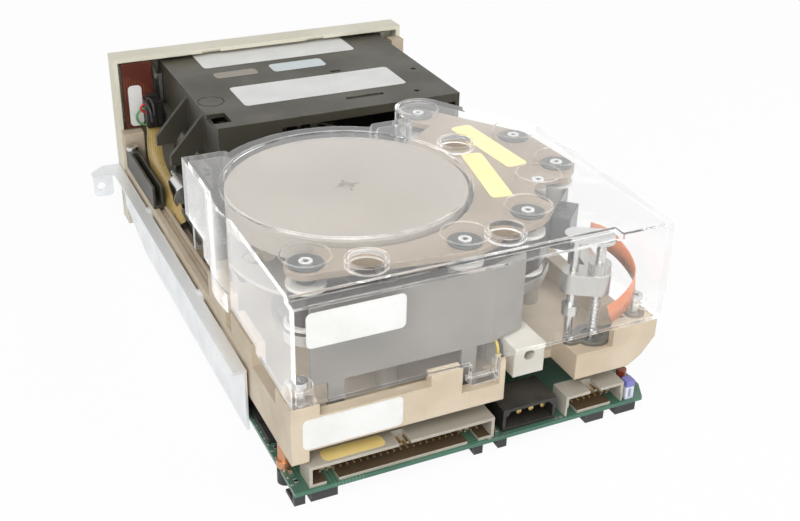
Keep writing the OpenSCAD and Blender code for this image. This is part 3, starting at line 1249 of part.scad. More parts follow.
header_sticker_shares = [0.68, 0.9775, 0.32, 0.085];
module yellow_stickers() row() color([0.93, 0.82, 0.35]) {
    for (s = yellow_plate_shares) plate_sticker(at(s), plate_top, s[2] * half_w, s[3] * half_w, s[4]);
    plate_sticker(at(header_sticker_shares), board_top + header_h, header_sticker_shares[2] * half_w, header_sticker_shares[3] * half_w);
}

bottom_tray();
main_board();
board_standoffs();
board_chips();
board_capacitor();
long_header();
power_socket();
short_header();
connector_pins();
jumper_block();
base_casting();
side_bracket();
machine_screws();
front_bezel();
release_handle();
hinge_pin();
unload_button();
density_button();
indicator_window();
panel_board();
panel_plug();
lead_wires();
film_flex();
cable_channel();
receiver_shell();
cartridge_carriage();
lift_bars();
supply_motor();
supply_hub();
takeup_motor();
takeup_rotor();
take_up_reel();
leader_tape();
upper_guide_plate();
lower_guide_plate();
guide_posts();
guide_roller_1();
guide_roller_2();
guide_roller_3();
guide_roller_4();
guide_roller_5();
guide_roller_6();
roller_shafts();
star_screws();
rear_shroud();
tape_head();
head_carriage();
lead_screw();
stepper_motor();
guide_rod();
head_flex();
buckle_arm();
lock_solenoid();
solenoid_plunger();
latch_bracket();
rear_block();
dust_cover();
white_stickers();
yellow_stickers();
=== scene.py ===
# %% [markdown]
# # A digital linear tape drive, dressed for the camera
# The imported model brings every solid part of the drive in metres, and this file gives each
# one its real finish. It also adds what is too fine for a solid model: wires, printed
# films, copper tracks, solder and small board parts. The drive's own places are written in
# millimetres from the middle of the bezel's back plane, and `spot` turns them into metres
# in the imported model's frame.

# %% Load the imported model
import math
import random

import bmesh
import bpy
from mathutils import Matrix, Vector


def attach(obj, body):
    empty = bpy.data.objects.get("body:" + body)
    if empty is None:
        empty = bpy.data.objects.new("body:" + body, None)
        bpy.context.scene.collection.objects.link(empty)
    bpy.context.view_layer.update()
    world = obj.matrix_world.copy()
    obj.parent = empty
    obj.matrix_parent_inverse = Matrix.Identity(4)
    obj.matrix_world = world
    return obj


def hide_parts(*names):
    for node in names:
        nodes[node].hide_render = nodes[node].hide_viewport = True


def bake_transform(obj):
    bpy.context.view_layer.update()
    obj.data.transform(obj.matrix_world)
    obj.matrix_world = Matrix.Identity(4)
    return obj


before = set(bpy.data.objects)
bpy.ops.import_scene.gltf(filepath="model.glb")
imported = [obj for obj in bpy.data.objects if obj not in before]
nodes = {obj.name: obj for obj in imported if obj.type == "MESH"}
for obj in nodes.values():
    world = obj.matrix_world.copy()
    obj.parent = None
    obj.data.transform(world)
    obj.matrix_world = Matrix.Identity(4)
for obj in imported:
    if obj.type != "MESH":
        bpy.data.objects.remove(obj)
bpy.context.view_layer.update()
MM = 0.001
half_width = 72.4
drive_length = 231.0
shift_x = -7.6875
shift_y = -109.1


def spot(x, y, z):
    """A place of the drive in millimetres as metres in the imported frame."""
    return Vector(((x + shift_x) * MM, (y + shift_y) * MM, z * MM))


def share(across, along):
    """A place in the plan from its shares of the half width and of the length."""
    return across * half_width, along * drive_length


roller_shares = [(0.782, 0.8803), (0.011, 0.9095), (-0.4254, 0.8619), (-0.869, 0.7212),
                 (-0.8425, 0.5902), (-0.4848, 0.4309)]
rollers = [share(*s) for s in roller_shares]
boss = share(-0.67, 0.7654)
reel = share(0.297, 0.671)
print("parts in the packed model:", len(nodes))

# %% [markdown]
# ## Camera
# The photograph looks down at the drive's rear from about thirty degrees, with the bezel
# far away. The camera was found by matching the headers' pin pitch and the body's corners,
# so its place and its three axes are written down as they came out.

# %% Camera
camera_at = Vector((0.16532, 0.40538, 0.26315))
camera_right = Vector((-0.9048, 0.4253, 0.0221))
camera_up = Vector((-0.1885, -0.4466, 0.8746))
camera_lens = 51.78
looked_at = Vector((-0.011, 0.043, 0.04))

camera_back = camera_right.cross(camera_up).normalized()
camera_up = camera_back.cross(camera_right.normalized())
turn = Matrix((camera_right.normalized(), camera_up, camera_back)).transposed().to_4x4()
camera_data = bpy.data.cameras.new("camera")
camera_data.lens = camera_lens
camera_data.sensor_width = 36
camera_data.clip_start = 0.01
camera_data.clip_end = 20
camera = bpy.data.objects.new("camera", camera_data)
camera.matrix_world = Matrix.Translation(camera_at) @ turn
bpy.context.scene.collection.objects.link(camera)
bpy.context.scene.camera = camera
bpy.context.scene.view_settings.view_transform = "Standard"
print("camera distance:", round((camera_at - looked_at).length, 3), "m")

# %% [markdown]
# ## Small helpers for shader trees
# Every finish below is a node tree. `add` places one node and sets its sockets by name,
# `join` draws a link, and `feed` does either a link or a plain value, so that a tree reads
# like a list of what feeds what. Colours are written as they look on screen, because that
# is how a maker compares them with a photograph, and `tint` turns them into linear light.


# %% Node helpers
def tint(red, green, blue):
    """A colour written as it looks on screen, turned into the linear values that nodes use."""
    def linear(v):
        v /= 255
        return v / 12.92 if v <= 0.04045 else ((v + 0.055) / 1.055) ** 2.4
    return (linear(red), linear(green), linear(blue), 1.0)


def add(tree, kind, settings=None, **sockets):
    """One node of a kind, with its settings and the values of its unlinked sockets."""
    made = tree.nodes.new("ShaderNode" + kind)
    for key, value in (settings or {}).items():
        setattr(made, key, value)
    for key, value in sockets.items():
        made.inputs[key.replace("_", " ")].default_value = value
    return made


def join(tree, out_socket, in_socket):
    """A link from one node's output to another's input."""
    tree.links.new(out_socket, in_socket)


def feed(tree, value, in_socket):
    """A link where the value is a socket, and else the plain value."""
    if isinstance(value, bpy.types.NodeSocket):
        join(tree, value, in_socket)
    else:
        in_socket.default_value = value


def mix_colours(tree, factor, first, second):
    """A colour mix; factor, first and second are sockets or plain values."""
    made = tree.nodes.new("ShaderNodeMix")
    made.data_type = "RGBA"
    for index, value in ((0, factor), (6, first), (7, second)):
        feed(tree, value, made.inputs[index])
    return made.outputs[2]


def calculate(tree, operation, first, second=0.0, clamp=False):
    """One Math node; first and second are sockets or numbers."""
    made = tree.nodes.new("ShaderNodeMath")
    made.operation = operation
    made.use_clamp = clamp
    for index, value in ((0, first), (1, second)):
        feed(tree, value, made.inputs[index])
    return made.outputs[0]


def span(tree, value, low, high, to_low=0.0, to_high=1.0, smooth=False):
    """A Map Range node on a socket."""
    made = tree.nodes.new("ShaderNodeMapRange")
    made.interpolation_type = "SMOOTHSTEP" if smooth else "LINEAR"
    join(tree, value, made.inputs[0])
    for index, number in ((1, low), (2, high), (3, to_low), (4, to_high)):
        made.inputs[index].default_value = number
    return made.outputs[0]


def new_group(name, takes, gives):
    """An empty shader group with named float or vector inputs and outputs."""
    group = bpy.data.node_groups.new(name, "ShaderNodeTree")
    for title, kind, value in takes:
        made = group.interface.new_socket(title, in_out="INPUT", socket_type="NodeSocket" + kind)
        made.default_value = value
    for title, kind in gives:
        group.interface.new_socket(title, in_out="OUTPUT", socket_type="NodeSocket" + kind)
    return group, group.nodes.new("NodeGroupInput"), group.nodes.new("NodeGroupOutput")


def use(tree, group, **values):
    """A group placed in a material, with its own values."""
    made = tree.nodes.new("ShaderNodeGroup")
    made.node_tree = group
    for key, value in values.items():
        feed(tree, value, made.inputs[key.replace("_", " ")])
    return made


def mix_shaders(tree, factor, first, second, output):
    """Two shaders mixed by a factor, which feed the tree's output node."""
    either = add(tree, "MixShader")
    for source, socket in zip((factor, first.outputs[0], second.outputs[0]), either.inputs):
        join(tree, source, socket)
    join(tree, either.outputs[0], tree.nodes[output].inputs["Surface"])


print("node helpers ready")

# %% [markdown]
# ## Shared effects, and grain first
# Five effects turn up in many finishes, so each is one group of nodes with named inputs.
# Grain is the fine texture of moulded or painted skin. A fast noise gives its height, a
# slow one lets the tone drift, and Voronoi cells give flecks. Noise on Object coordinates
# needs no UV map and runs on from face to face, as a real skin does.

# %% Grain
grain, g_in, g_out = new_group(
    "moulded grain",
    [("Fineness", "Float", 2500.0), ("Drift", "Float", 25.0)],
    [("Height", "Float"), ("Tone", "Float"), ("Fleck", "Float")])
place = add(grain, "TexCoord")
fine = add(grain, "TexNoise", Detail=2.0, Roughness=0.6)
slow = add(grain, "TexNoise", Detail=4.0, Roughness=0.55)
fleck = add(grain, "TexVoronoi", {"feature": "F1"})
for texture in (fine, slow, fleck):
    join(grain, place.outputs["Object"], texture.inputs["Vector"])
join(grain, g_in.outputs["Fineness"], fine.inputs["Scale"])
join(grain, g_in.outputs["Drift"], slow.inputs["Scale"])
join(grain, calculate(grain, "MULTIPLY", g_in.outputs["Fineness"], 0.35), fleck.inputs["Scale"])
join(grain, fine.outputs["Fac"], g_out.inputs["Height"])
join(grain, span(grain, slow.outputs["Fac"], 0.3, 0.7, smooth=True), g_out.inputs["Tone"])
join(grain, span(grain, fleck.outputs["Distance"], 0.0, 0.25, 1.0, 0.0), g_out.inputs["Fleck"])
print("grain:", len(grain.nodes), "nodes")

# %% [markdown]
# ## Brushing
# A sheet mill or a lathe leaves fine lines that all run one way. Coordinates that are
# multiplied more along two axes than along the third squeeze a plain noise into such lines.

# %% Brushing
brushing, g_in, g_out = new_group(
    "brushing",
    [("Stretch", "Vector", (1.0, 40.0, 40.0)), ("Fineness", "Float", 120.0)],
    [("Height", "Float"), ("Tone", "Float")])
place = add(brushing, "TexCoord")
pulled = add(brushing, "VectorMath", {"operation": "MULTIPLY"})
join(brushing, place.outputs["Object"], pulled.inputs[0])
join(brushing, g_in.outputs["Stretch"], pulled.inputs[1])
lines = add(brushing, "TexNoise", Detail=3.0, Roughness=0.7)
join(brushing, pulled.outputs[0], lines.inputs["Vector"])
join(brushing, g_in.outputs["Fineness"], lines.inputs["Scale"])
join(brushing, lines.outputs["Fac"], g_out.inputs["Height"])
join(brushing, span(brushing, lines.outputs["Fac"], 0.35, 0.65), g_out.inputs["Tone"])
print("brushing:", len(brushing.nodes), "nodes")

# %% [markdown]
# ## Edges
# Handling rubs corners first. The Bevel node gives the normal of a rounded corner, and
# where it leans away from the real normal there must be an edge. A noise breaks the mask
# up, because no corner wears evenly.

# %% Edges
edges, g_in, g_out = new_group(
    "edges",
    [("Width", "Float", 0.0006), ("Breakup", "Float", 350.0), ("Amount", "Float", 0.5)],
    [("Mask", "Float")])
rounded = add(edges, "Bevel", {"samples": 4})
join(edges, g_in.outputs["Width"], rounded.inputs["Radius"])
surface = add(edges, "NewGeometry")
lean = add(edges, "VectorMath", {"operation": "DOT_PRODUCT"})
join(edges, rounded.outputs[0], lean.inputs[0])
join(edges, surface.outputs["Normal"], lean.inputs[1])
corner = span(edges, lean.outputs["Value"], 0.99, 0.85, smooth=True)
place = add(edges, "TexCoord")
chips = add(edges, "TexNoise", Detail=4.0, Roughness=0.65)
join(edges, place.outputs["Object"], chips.inputs["Vector"])
join(edges, g_in.outputs["Breakup"], chips.inputs["Scale"])
broken = span(edges, chips.outputs["Fac"], 0.42, 0.62)
worn = calculate(edges, "MULTIPLY", corner, broken)
join(edges, calculate(edges, "MULTIPLY", worn, g_in.outputs["Amount"], clamp=True),
     g_out.inputs["Mask"])
print("edges:", len(edges.nodes), "nodes")

# %% [markdown]
# ## Dust
# Dust settles on faces that look up, so its mask comes from how far the normal points up,
# thinned out by a patchy noise.

# %% Dust
dust, g_in, g_out = new_group(
    "dust",
    [("Amount", "Float", 0.2), ("Patch", "Float", 60.0)],
    [("Mask", "Float")])
place = add(dust, "TexCoord")
parts = add(dust, "SeparateXYZ")
join(dust, place.outputs["Normal"], parts.inputs[0])
level = span(dust, parts.outputs["Z"], 0.6, 0.95, smooth=True)
patches = add(dust, "TexNoise", Detail=6.0, Roughness=0.7)
join(dust, place.outputs["Object"], patches.inputs["Vector"])
join(dust, g_in.outputs["Patch"], patches.inputs["Scale"])
settled = calculate(dust, "MULTIPLY", level, span(dust, patches.outputs["Fac"], 0.35, 0.75))
join(dust, calculate(dust, "MULTIPLY", settled, g_in.outputs["Amount"], clamp=True),
     g_out.inputs["Mask"])
print("dust:", len(dust.nodes), "nodes")

# %% [markdown]
# ## Relief
# Every real corner is a little round. The Bevel node rounds it in the shading alone, and a
# Bump node adds the height of the grain to that normal.

# %% Relief
relief, g_in, g_out = new_group(
    "relief",
    [("Corner", "Float", 0.0003), ("Height", "Float", 0.5), ("Depth", "Float", 0.00002)],
    [("Normal", "Vector")])
rounded = add(relief, "Bevel", {"samples": 4})
join(relief, g_in.outputs["Corner"], rounded.inputs["Radius"])
raised = add(relief, "Bump", Strength=1.0)
join(relief, g_in.outputs["Depth"], raised.inputs["Distance"])
join(relief, g_in.outputs["Height"], raised.inputs["Height"])
join(relief, rounded.outputs[0], raised.inputs["Normal"])
join(relief, raised.outputs[0], g_out.inputs["Normal"])
print("groups:", [g.name for g in bpy.data.node_groups])

# %% [markdown]
# ## One recipe for hard finishes
# Paint, moulded plastic and bare metal differ in their numbers more than in their make-up.
# `finish` puts the groups together: two tones that drift into each other, grain, worn
# corners in a third tone, dust on top, and a roughness that follows the tone. A metal is
# given a stretch, so that its grain turns into brushing.


# %% The recipe
def finish(name, light, dark, rough, grain_size=0.4, depth=0.01, metal=0.0, worn=None,
           wear=0.0, dirt=0.0, dirt_tone=(150, 143, 130), drift=25.0, stretch=None,
           corner=0.3, shine=0.5, fleck_tone=None, fleck_share=0.0):
    """A finish: sizes in millimetres, tones as on screen, rough the low and the high."""
    brushing_length, grain_part, brushed_part = 10, 0.6, 0.4
    rub_width, dust_roughness = 0.0008, 0.3
    made = bpy.data.materials.new(name)
    made.use_nodes = True
    tree = made.node_tree
    shader = tree.nodes["Principled BSDF"]
    shader.inputs["Metallic"].default_value = metal
    shader.inputs["Specular IOR Level"].default_value = shine
    skin = use(tree, grain, Fineness=1.0 / (grain_size * MM), Drift=drift)
    height, tone = skin.outputs["Height"], skin.outputs["Tone"]
    if stretch:
        pulled = use(tree, brushing, Stretch=stretch,
                     Fineness=1.0 / (grain_size * brushing_length * MM))
        height = pulled.outputs["Height"]
        tone = calculate(tree, "ADD", calculate(tree, "MULTIPLY", tone, grain_part),
                         calculate(tree, "MULTIPLY", pulled.outputs["Tone"], brushed_part))
    colour = mix_colours(tree, tone, tint(*dark), tint(*light))
    if fleck_tone:
        spots = calculate(tree, "MULTIPLY", skin.outputs["Fleck"], fleck_share)
        colour = mix_colours(tree, spots, colour, tint(*fleck_tone))
    if worn:
        rub = use(tree, edges, Width=rub_width, Amount=wear)
        colour = mix_colours(tree, rub.outputs["Mask"], colour, tint(*worn))
    roughness = span(tree, tone, 0.0, 1.0, rough[1], rough[0])
    if dirt:
        dusty = use(tree, dust, Amount=dirt).outputs["Mask"]
        colour = mix_colours(tree, dusty, colour, tint(*dirt_tone))
        roughness = calculate(tree, "ADD", roughness,
                              calculate(tree, "MULTIPLY", dusty, dust_roughness), clamp=True)
    join(tree, colour, shader.inputs["Base Color"])
    join(tree, roughness, shader.inputs["Roughness"])
    shape = use(tree, relief, Corner=corner * MM, Height=height, Depth=depth * MM)
    join(tree, shape.outputs["Normal"], shader.inputs["Normal"])
    return made


def mark_boxes(tree, colour, patches):
    """Lays tones on a colour inside boxes: low corner, high corner, tone, in millimetres."""
    place_at = add(tree, "TexCoord")
    parts_of = add(tree, "SeparateXYZ")
    join(tree, place_at.outputs["Object"], parts_of.inputs[0])
    for low, high, tone in patches:
        low, high = spot(*low), spot(*high)
        inside = None
        for axis in range(3):
            above = calculate(tree, "GREATER_THAN", parts_of.outputs[axis], low[axis])
            below = calculate(tree, "LESS_THAN", parts_of.outputs[axis], high[axis])
            both = calculate(tree, "MULTIPLY", above, below)
            inside = both if inside is None else calculate(tree, "MULTIPLY", inside, both)
        colour = mix_colours(tree, inside, colour, tint(*tone))
    return colour


def mark(material, *patches):
    """Marks boxes on a finish that is already made."""
    tree = material.node_tree
    base_colour = tree.nodes["Principled BSDF"].inputs["Base Color"]
    join(tree, mark_boxes(tree, base_colour.links[0].from_socket, patches), base_colour)


def dress(material, *names):
    """Puts a finish on CAD nodes."""
    for name in names:
        for place_on in nodes[name].material_slots:
            place_on.material = material


print("recipe ready")

# %% [markdown]
# ## Plastics
# The bezel is cream ABS with a fine spark grain, and the receiver is black glass-filled
# plastic that looks dark warm grey under bright light. Buttons and handle are mid greys.
# The hollows of the headers get a painted brown shade, and the jumper block has violet
# tops, so boxes mark both. All tones were set beside the photograph.

# %% Plastics
cream = finish("bezel cream plastic", (224, 220, 203), (214, 209, 190), (0.42, 0.55),
               grain_size=0.35, depth=0.012, worn=(236, 233, 220), wear=0.35, dirt=0.12,
               corner=0.5)
black_shell = finish("receiver black plastic", (62, 59, 48), (49, 47, 38), (0.38, 0.52),
                     grain_size=0.3, depth=0.014, worn=(112, 108, 94), wear=0.55, dirt=0.28,
                     dirt_tone=(128, 122, 104), corner=0.35, fleck_tone=(96, 92, 80),
                     fleck_share=0.12)
black_plug = finish("socket black plastic", (42, 41, 38), (30, 29, 28), (0.3, 0.42),
                    grain_size=0.25, depth=0.008, worn=(80, 78, 72), wear=0.4, dirt=0.15,
                    corner=0.25)
handle_plastic = finish("handle grey plastic", (128, 123, 112), (114, 110, 100), (0.42, 0.55),
                        grain_size=0.35, depth=0.014, worn=(160, 155, 143), wear=0.4,
                        corner=0.5)
key_plastic = finish("key grey plastic", (146, 141, 130), (132, 127, 117), (0.35, 0.48),
                     grain_size=0.3, depth=0.01, worn=(176, 171, 160), wear=0.4, corner=0.5)
header_plastic = finish("header grey plastic", (176, 171, 158), (160, 154, 141), (0.38, 0.52),
                        grain_size=0.2, depth=0.008, worn=(214, 206, 190), wear=0.5, dirt=0.2,
                        corner=0.2)
shroud_plastic = finish("shroud grey plastic", (124, 120, 115), (106, 103, 98), (0.4, 0.55),
                        grain_size=0.3, depth=0.002, corner=0.3)
roller_plastic = finish("roller pale plastic", (206, 203, 196), (190, 187, 180), (0.3, 0.42),
                        grain_size=0.25, depth=0.004, corner=0.2)
jumper_plastic = finish("jumper white plastic", (222, 225, 232), (188, 194, 216), (0.35, 0.5),
                        grain_size=0.2, depth=0.006, worn=(240, 240, 240), wear=0.4, corner=0.2)
chip_plastic = finish("chip epoxy", (52, 51, 50), (40, 39, 38), (0.45, 0.6), grain_size=0.15,
                      depth=0.006, worn=(84, 82, 80), wear=0.4, corner=0.15,
                      fleck_tone=(70, 68, 66), fleck_share=0.2)
capacitor_skin = finish("capacitor red-brown skin", (142, 66, 40), (112, 46, 27), (0.22, 0.35),
                        grain_size=0.3, depth=0.01, worn=(176, 110, 80), wear=0.4, corner=0.4,
                        shine=0.6)
tray_paint = finish("tray black paint", (54, 54, 55), (42, 42, 44), (0.45, 0.6),
                    grain_size=0.25, depth=0.01, worn=(120, 120, 120), wear=0.5, dirt=0.2,
                    corner=0.3)
# painted shade: a brown tone laid on the floors and walls inside the header hollows
painted_cavity_shade, cap_violet = (84, 68, 50), (122, 120, 186)
long_cavity_shade = ((-2.9, 222.9, 8.1), (65.4, 230.0, 14.5), painted_cavity_shade)
short_cavity_shade = ((-58.6, 222.9, 8.1), (-35.8, 230.0, 14.5), painted_cavity_shade)
jumper_tops = ((-72, 215, 12.4), (-50, 231, 16), cap_violet)
mark(header_plastic, long_cavity_shade, short_cavity_shade)
mark(jumper_plastic, jumper_tops)
dress(cream, "front_bezel")
dress(black_shell, "receiver_shell", "cable_channel")
dress(black_plug, "power_socket", "panel_plug")
dress(handle_plastic, "release_handle")
dress(key_plastic, "unload_button", "density_button")
dress(header_plastic, "long_header", "short_header")
dress(shroud_plastic, "rear_shroud")
dress(roller_plastic, *["guide_roller_%d" % n for n in range(1, 7)])
dress(jumper_plastic, "jumper_block")
dress(chip_plastic, "board_chips")
dress(capacitor_skin, "board_capacitor")
dress(tray_paint, "bottom_tray")
print("plastics:", len(bpy.data.materials))

# %% [markdown]
# ## Metals
# The casting and the guide plate wear a baked tan paint with a pebbled skin. Sheet parts are
# zinc plated and faintly brushed along their length. Turned parts are brighter, and the
# gold of the pins has worn in places. The star screws show a dark star, because little
# light reaches their recesses, so thin boxes mark the recesses' floors. The screw on the
# boss sits lower than those on the rollers, whose caps lift them.

# %% Metals
cast_paint = finish("cast tan paint", (204, 189, 167), (188, 172, 149), (0.4, 0.56),
                    grain_size=0.7, depth=0.03, worn=(222, 210, 190), wear=0.6, dirt=0.22,
                    dirt_tone=(164, 149, 126), corner=0.6, fleck_tone=(168, 151, 128),
                    fleck_share=0.22, drift=40)
plate_paint = finish("plate tan paint", (148, 134, 117), (133, 118, 101), (0.34, 0.48),
                     grain_size=0.4, depth=0.012, metal=0.15, worn=(206, 194, 178), wear=0.5,
                     corner=0.3, fleck_tone=(132, 116, 100), fleck_share=0.15)
zinc = finish("zinc plated sheet", (246, 248, 249), (226, 229, 231), (0.26, 0.42),
              grain_size=0.5, depth=0.004, metal=0.5, worn=(232, 232, 232), wear=0.4, dirt=0.12,
              stretch=(40.0, 1.0, 40.0), corner=0.25, drift=60)
dull_zinc = finish("dull plated sheet", (152, 151, 146), (122, 120, 114), (0.34, 0.5),
                   grain_size=0.4, depth=0.006, metal=0.85, worn=(196, 194, 188), wear=0.6,
                   stretch=(1.0, 30.0, 30.0), corner=0.25, drift=80)
bright = finish("bright turned steel", (226, 226, 224), (198, 198, 196), (0.16, 0.3),
                grain_size=0.3, depth=0.003, metal=1.0, worn=(240, 240, 240), wear=0.3,
                stretch=(30.0, 30.0, 2.0), corner=0.2)
alloy = finish("machined alloy", (206, 204, 199), (182, 180, 175), (0.26, 0.4), grain_size=0.4,
               depth=0.004, metal=0.9, worn=(226, 224, 220), wear=0.4,
               stretch=(20.0, 20.0, 1.0), corner=0.3)
rotor_steel = finish("motor rotor steel", (150, 149, 146), (126, 125, 122), (0.3, 0.44),
                     grain_size=0.4, depth=0.005, metal=0.9, worn=(190, 188, 184), wear=0.4,
                     corner=0.4)
cap_steel = finish("dark plated cap", (72, 75, 70), (56, 58, 55), (0.28, 0.4), grain_size=0.3,
                   depth=0.006, metal=0.3, worn=(140, 142, 136), wear=0.5, corner=0.3)
pin_gold = finish("pin gold", (224, 190, 120), (196, 158, 96), (0.2, 0.34), grain_size=0.15,
                  depth=0.003, metal=0.95, worn=(214, 208, 196), wear=0.5, corner=0.1)
copper = finish("standoff copper", (214, 160, 122), (186, 128, 92), (0.26, 0.4), grain_size=0.3,
                depth=0.004, metal=0.9, worn=(232, 190, 156), wear=0.4, corner=0.2)
head_metal = finish("head dark metal", (92, 92, 96), (70, 70, 74), (0.24, 0.38), grain_size=0.3,
                    depth=0.006, metal=0.6, worn=(130, 130, 134), wear=0.4, corner=0.3)
star_steel = finish("star screw steel", (232, 232, 230), (206, 206, 204), (0.18, 0.32),
                    grain_size=0.3, depth=0.003, metal=0.6, worn=(244, 244, 244), wear=0.3,
                    corner=0.15)
star_top = 78.7
# painted shade: a dark tone on the floors of the star recesses
painted_recess_shade = (46, 47, 45)
roller_recess_shades = ((-80, 90, star_top - 0.4), (80, 231, star_top - 0.3), painted_recess_shade)
boss_recess_shade = ((-80, 90, star_top - 1.0), (80, 231, star_top - 0.9), painted_recess_shade)
mark(star_steel, roller_recess_shades, boss_recess_shade)
dress(star_steel, "star_screws")
dress(cast_paint, "base_casting")
dress(plate_paint, "upper_guide_plate")
dress(zinc, "side_bracket")
dress(dull_zinc, "latch_bracket", "lift_bars", "cartridge_carriage", "stepper_motor")
dress(bright, "machine_screws", "hinge_pin", "lead_screw", "guide_rod",
      "solenoid_plunger", "lock_solenoid")
dress(alloy, "lower_guide_plate", "guide_posts", "head_carriage", "buckle_arm",
      "supply_motor", "takeup_motor")
dress(rotor_steel, "supply_hub", "takeup_rotor")
dress(cap_steel, "roller_shafts")
dress(pin_gold, "connector_pins")
dress(copper, "board_standoffs")
dress(head_metal, "tape_head")
block_skin = finish("pale block", (206, 202, 192), (190, 186, 175), (0.3, 0.44), grain_size=0.4,
                    depth=0.006, worn=(244, 244, 240), wear=0.3, dirt=0.15, corner=0.5)
dress(block_skin, "rear_block")
print("metals done:", len(bpy.data.materials), "materials")

# %% [markdown]
# ## Papers
# Stickers are white or yellow coated paper with a faint fibre and slightly grey edges. All
# are bare. Two small strips on the receiver differ, one grey and one bluish, so the white
# paper picks its tone by place, as the marks on the headers do.


# %% Papers
def paper(name, light, dark, patches=()):
    """Coated paper; patches are (low corner, high corner, tone) in the drive's millimetres."""
    fibre_tone, fibre_share, soiled_tone = (170, 166, 158), 0.06, (186, 180, 168)
    made = bpy.data.materials.new(name)
    made.use_nodes = True
    tree = made.node_tree
    shader = tree.nodes["Principled BSDF"]
    shader.inputs["Specular IOR Level"].default_value = 0.4
    skin = use(tree, grain, Fineness=3200.0, Drift=70.0)
    fibre = use(tree, brushing, Stretch=(1.0, 6.0, 6.0), Fineness=420.0)
    colour = mix_colours(tree, skin.outputs["Tone"], tint(*dark), tint(*light))
    colour = mark_boxes(tree, colour, patches)
    fibres = calculate(tree, "MULTIPLY", fibre.outputs["Tone"], fibre_share)
    colour = mix_colours(tree, fibres, colour, tint(*fibre_tone))
    soiled = use(tree, edges, Width=0.0012, Breakup=600.0, Amount=0.35)
    colour = mix_colours(tree, soiled.outputs["Mask"], colour, tint(*soiled_tone))
    join(tree, colour, shader.inputs["Base Color"])
    join(tree, span(tree, skin.outputs["Tone"], 0.0, 1.0, 0.5, 0.36), shader.inputs["Roughness"])
    shape = use(tree, relief, Corner=0.0001, Height=skin.outputs["Height"], Depth=0.000003)
    join(tree, shape.outputs["Normal"], shader.inputs["Normal"])
    return made


grey_strip = ((10, 22, 75), (34.5, 34, 90), (146, 140, 130))
blue_strip = ((-24, 20, 75), (9, 34, 90), (208, 216, 219))
white_paper = paper("white paper", (229, 229, 227), (221, 221, 218), [grey_strip, blue_strip])
yellow_paper = paper("yellow paper", (238, 214, 140), (228, 203, 126))
dress(white_paper, "white_stickers")
dress(yellow_paper, "yellow_stickers")
print("papers done")

# %% [markdown]
# ## Clear cover
# The cover is moulded in clear plastic about two millimetres thick. Glass in Cycles blocks
# lamps, which would leave the works inside dark, so shadow rays see a Transparent shader
# instead. The slight waves of the moulding come from a very slow bump. A real moulding has
# no dark edges against a white ground, so rays bend only a little inside it, and a glossy
# coat brings the shine. Its edges and the walls seen at a slant get a painted highlight: an
# emission makes them glow milky white, and the rest of the cover glows faintly.

# %% Clear cover
clear = bpy.data.materials.new("clear moulding")
clear.use_nodes = True
tree = clear.node_tree
glass = tree.nodes["Principled BSDF"]
glass.inputs["Base Color"].default_value = (0.985, 0.985, 0.985, 1.0)
glass.inputs["Roughness"].default_value = 0.025
glass.inputs["Transmission Weight"].default_value = 1.0
glass.inputs["IOR"].default_value = 1.1
glass.inputs["Coat Weight"].default_value = 1.0
glass.inputs["Coat IOR"].default_value = 1.46
glass.inputs["Coat Roughness"].default_value = 0.04
waves = add(tree, "TexNoise", Scale=55.0, Detail=1.5)
place = add(tree, "TexCoord")
join(tree, place.outputs["Object"], waves.inputs["Vector"])
soft = add(tree, "Bump", Strength=1.0, Distance=0.00006)
join(tree, waves.outputs["Fac"], soft.inputs["Height"])
join(tree, soft.outputs[0], glass.inputs["Normal"])
# painted highlight: edges and slanted walls glow milky white by emission, the rest faintly
rim = use(tree, edges, Width=0.0007, Breakup=60.0, Amount=0.7)
slant = add(tree, "LayerWeight", Blend=0.5)
painted_glow_from, painted_glow_to, painted_glow_most = 0.55, 0.85, 0.45
painted_slant_glow = span(tree, slant.outputs["Facing"], painted_glow_from, painted_glow_to, 0.0, painted_glow_most, smooth=True)
painted_glow_mask = calculate(tree, "MAXIMUM", rim.outputs["Mask"], painted_slant_glow)
faint_painted_glow, milky_painted_glow = (0.02, 0.02, 0.02, 1), (0.68, 0.68, 0.68, 1)
painted_glow_tone = mix_colours(tree, painted_glow_mask, faint_painted_glow, milky_painted_glow)
join(tree, painted_glow_tone, glass.inputs["Emission Color"])
glass.inputs["Emission Strength"].default_value = 1.0
passing = add(tree, "BsdfTransparent", Color=(0.94, 0.94, 0.94, 1.0))
rays = add(tree, "LightPath")
mix_shaders(tree, rays.outputs["Is Shadow Ray"], glass, passing, "Material Output")
dress(clear, "dust_cover")
print("cover material has", len(tree.nodes), "nodes")

# %% [markdown]
# ## Indicator window
# The window over the lamps is a smoked red plastic, nearly black until a lamp is lit.

# %% Indicator window
smoked = finish("smoked red window", (62, 18, 22), (44, 12, 16), (0.08, 0.16), grain_size=0.5,
                depth=0.002, corner=0.3, shine=0.7)
dress(smoked, "indicator_window")
print("window done")

# %% [markdown]
# ## Take-up reel
# The upper flange is a pale grey-brown moulding. Its mould was turned, so very fine rings
# run round its hub, and it gets paler outwards. Both come from the distance to the reel's
# middle, which a Mapping node brings to the origin. The leader tape is a dark film.

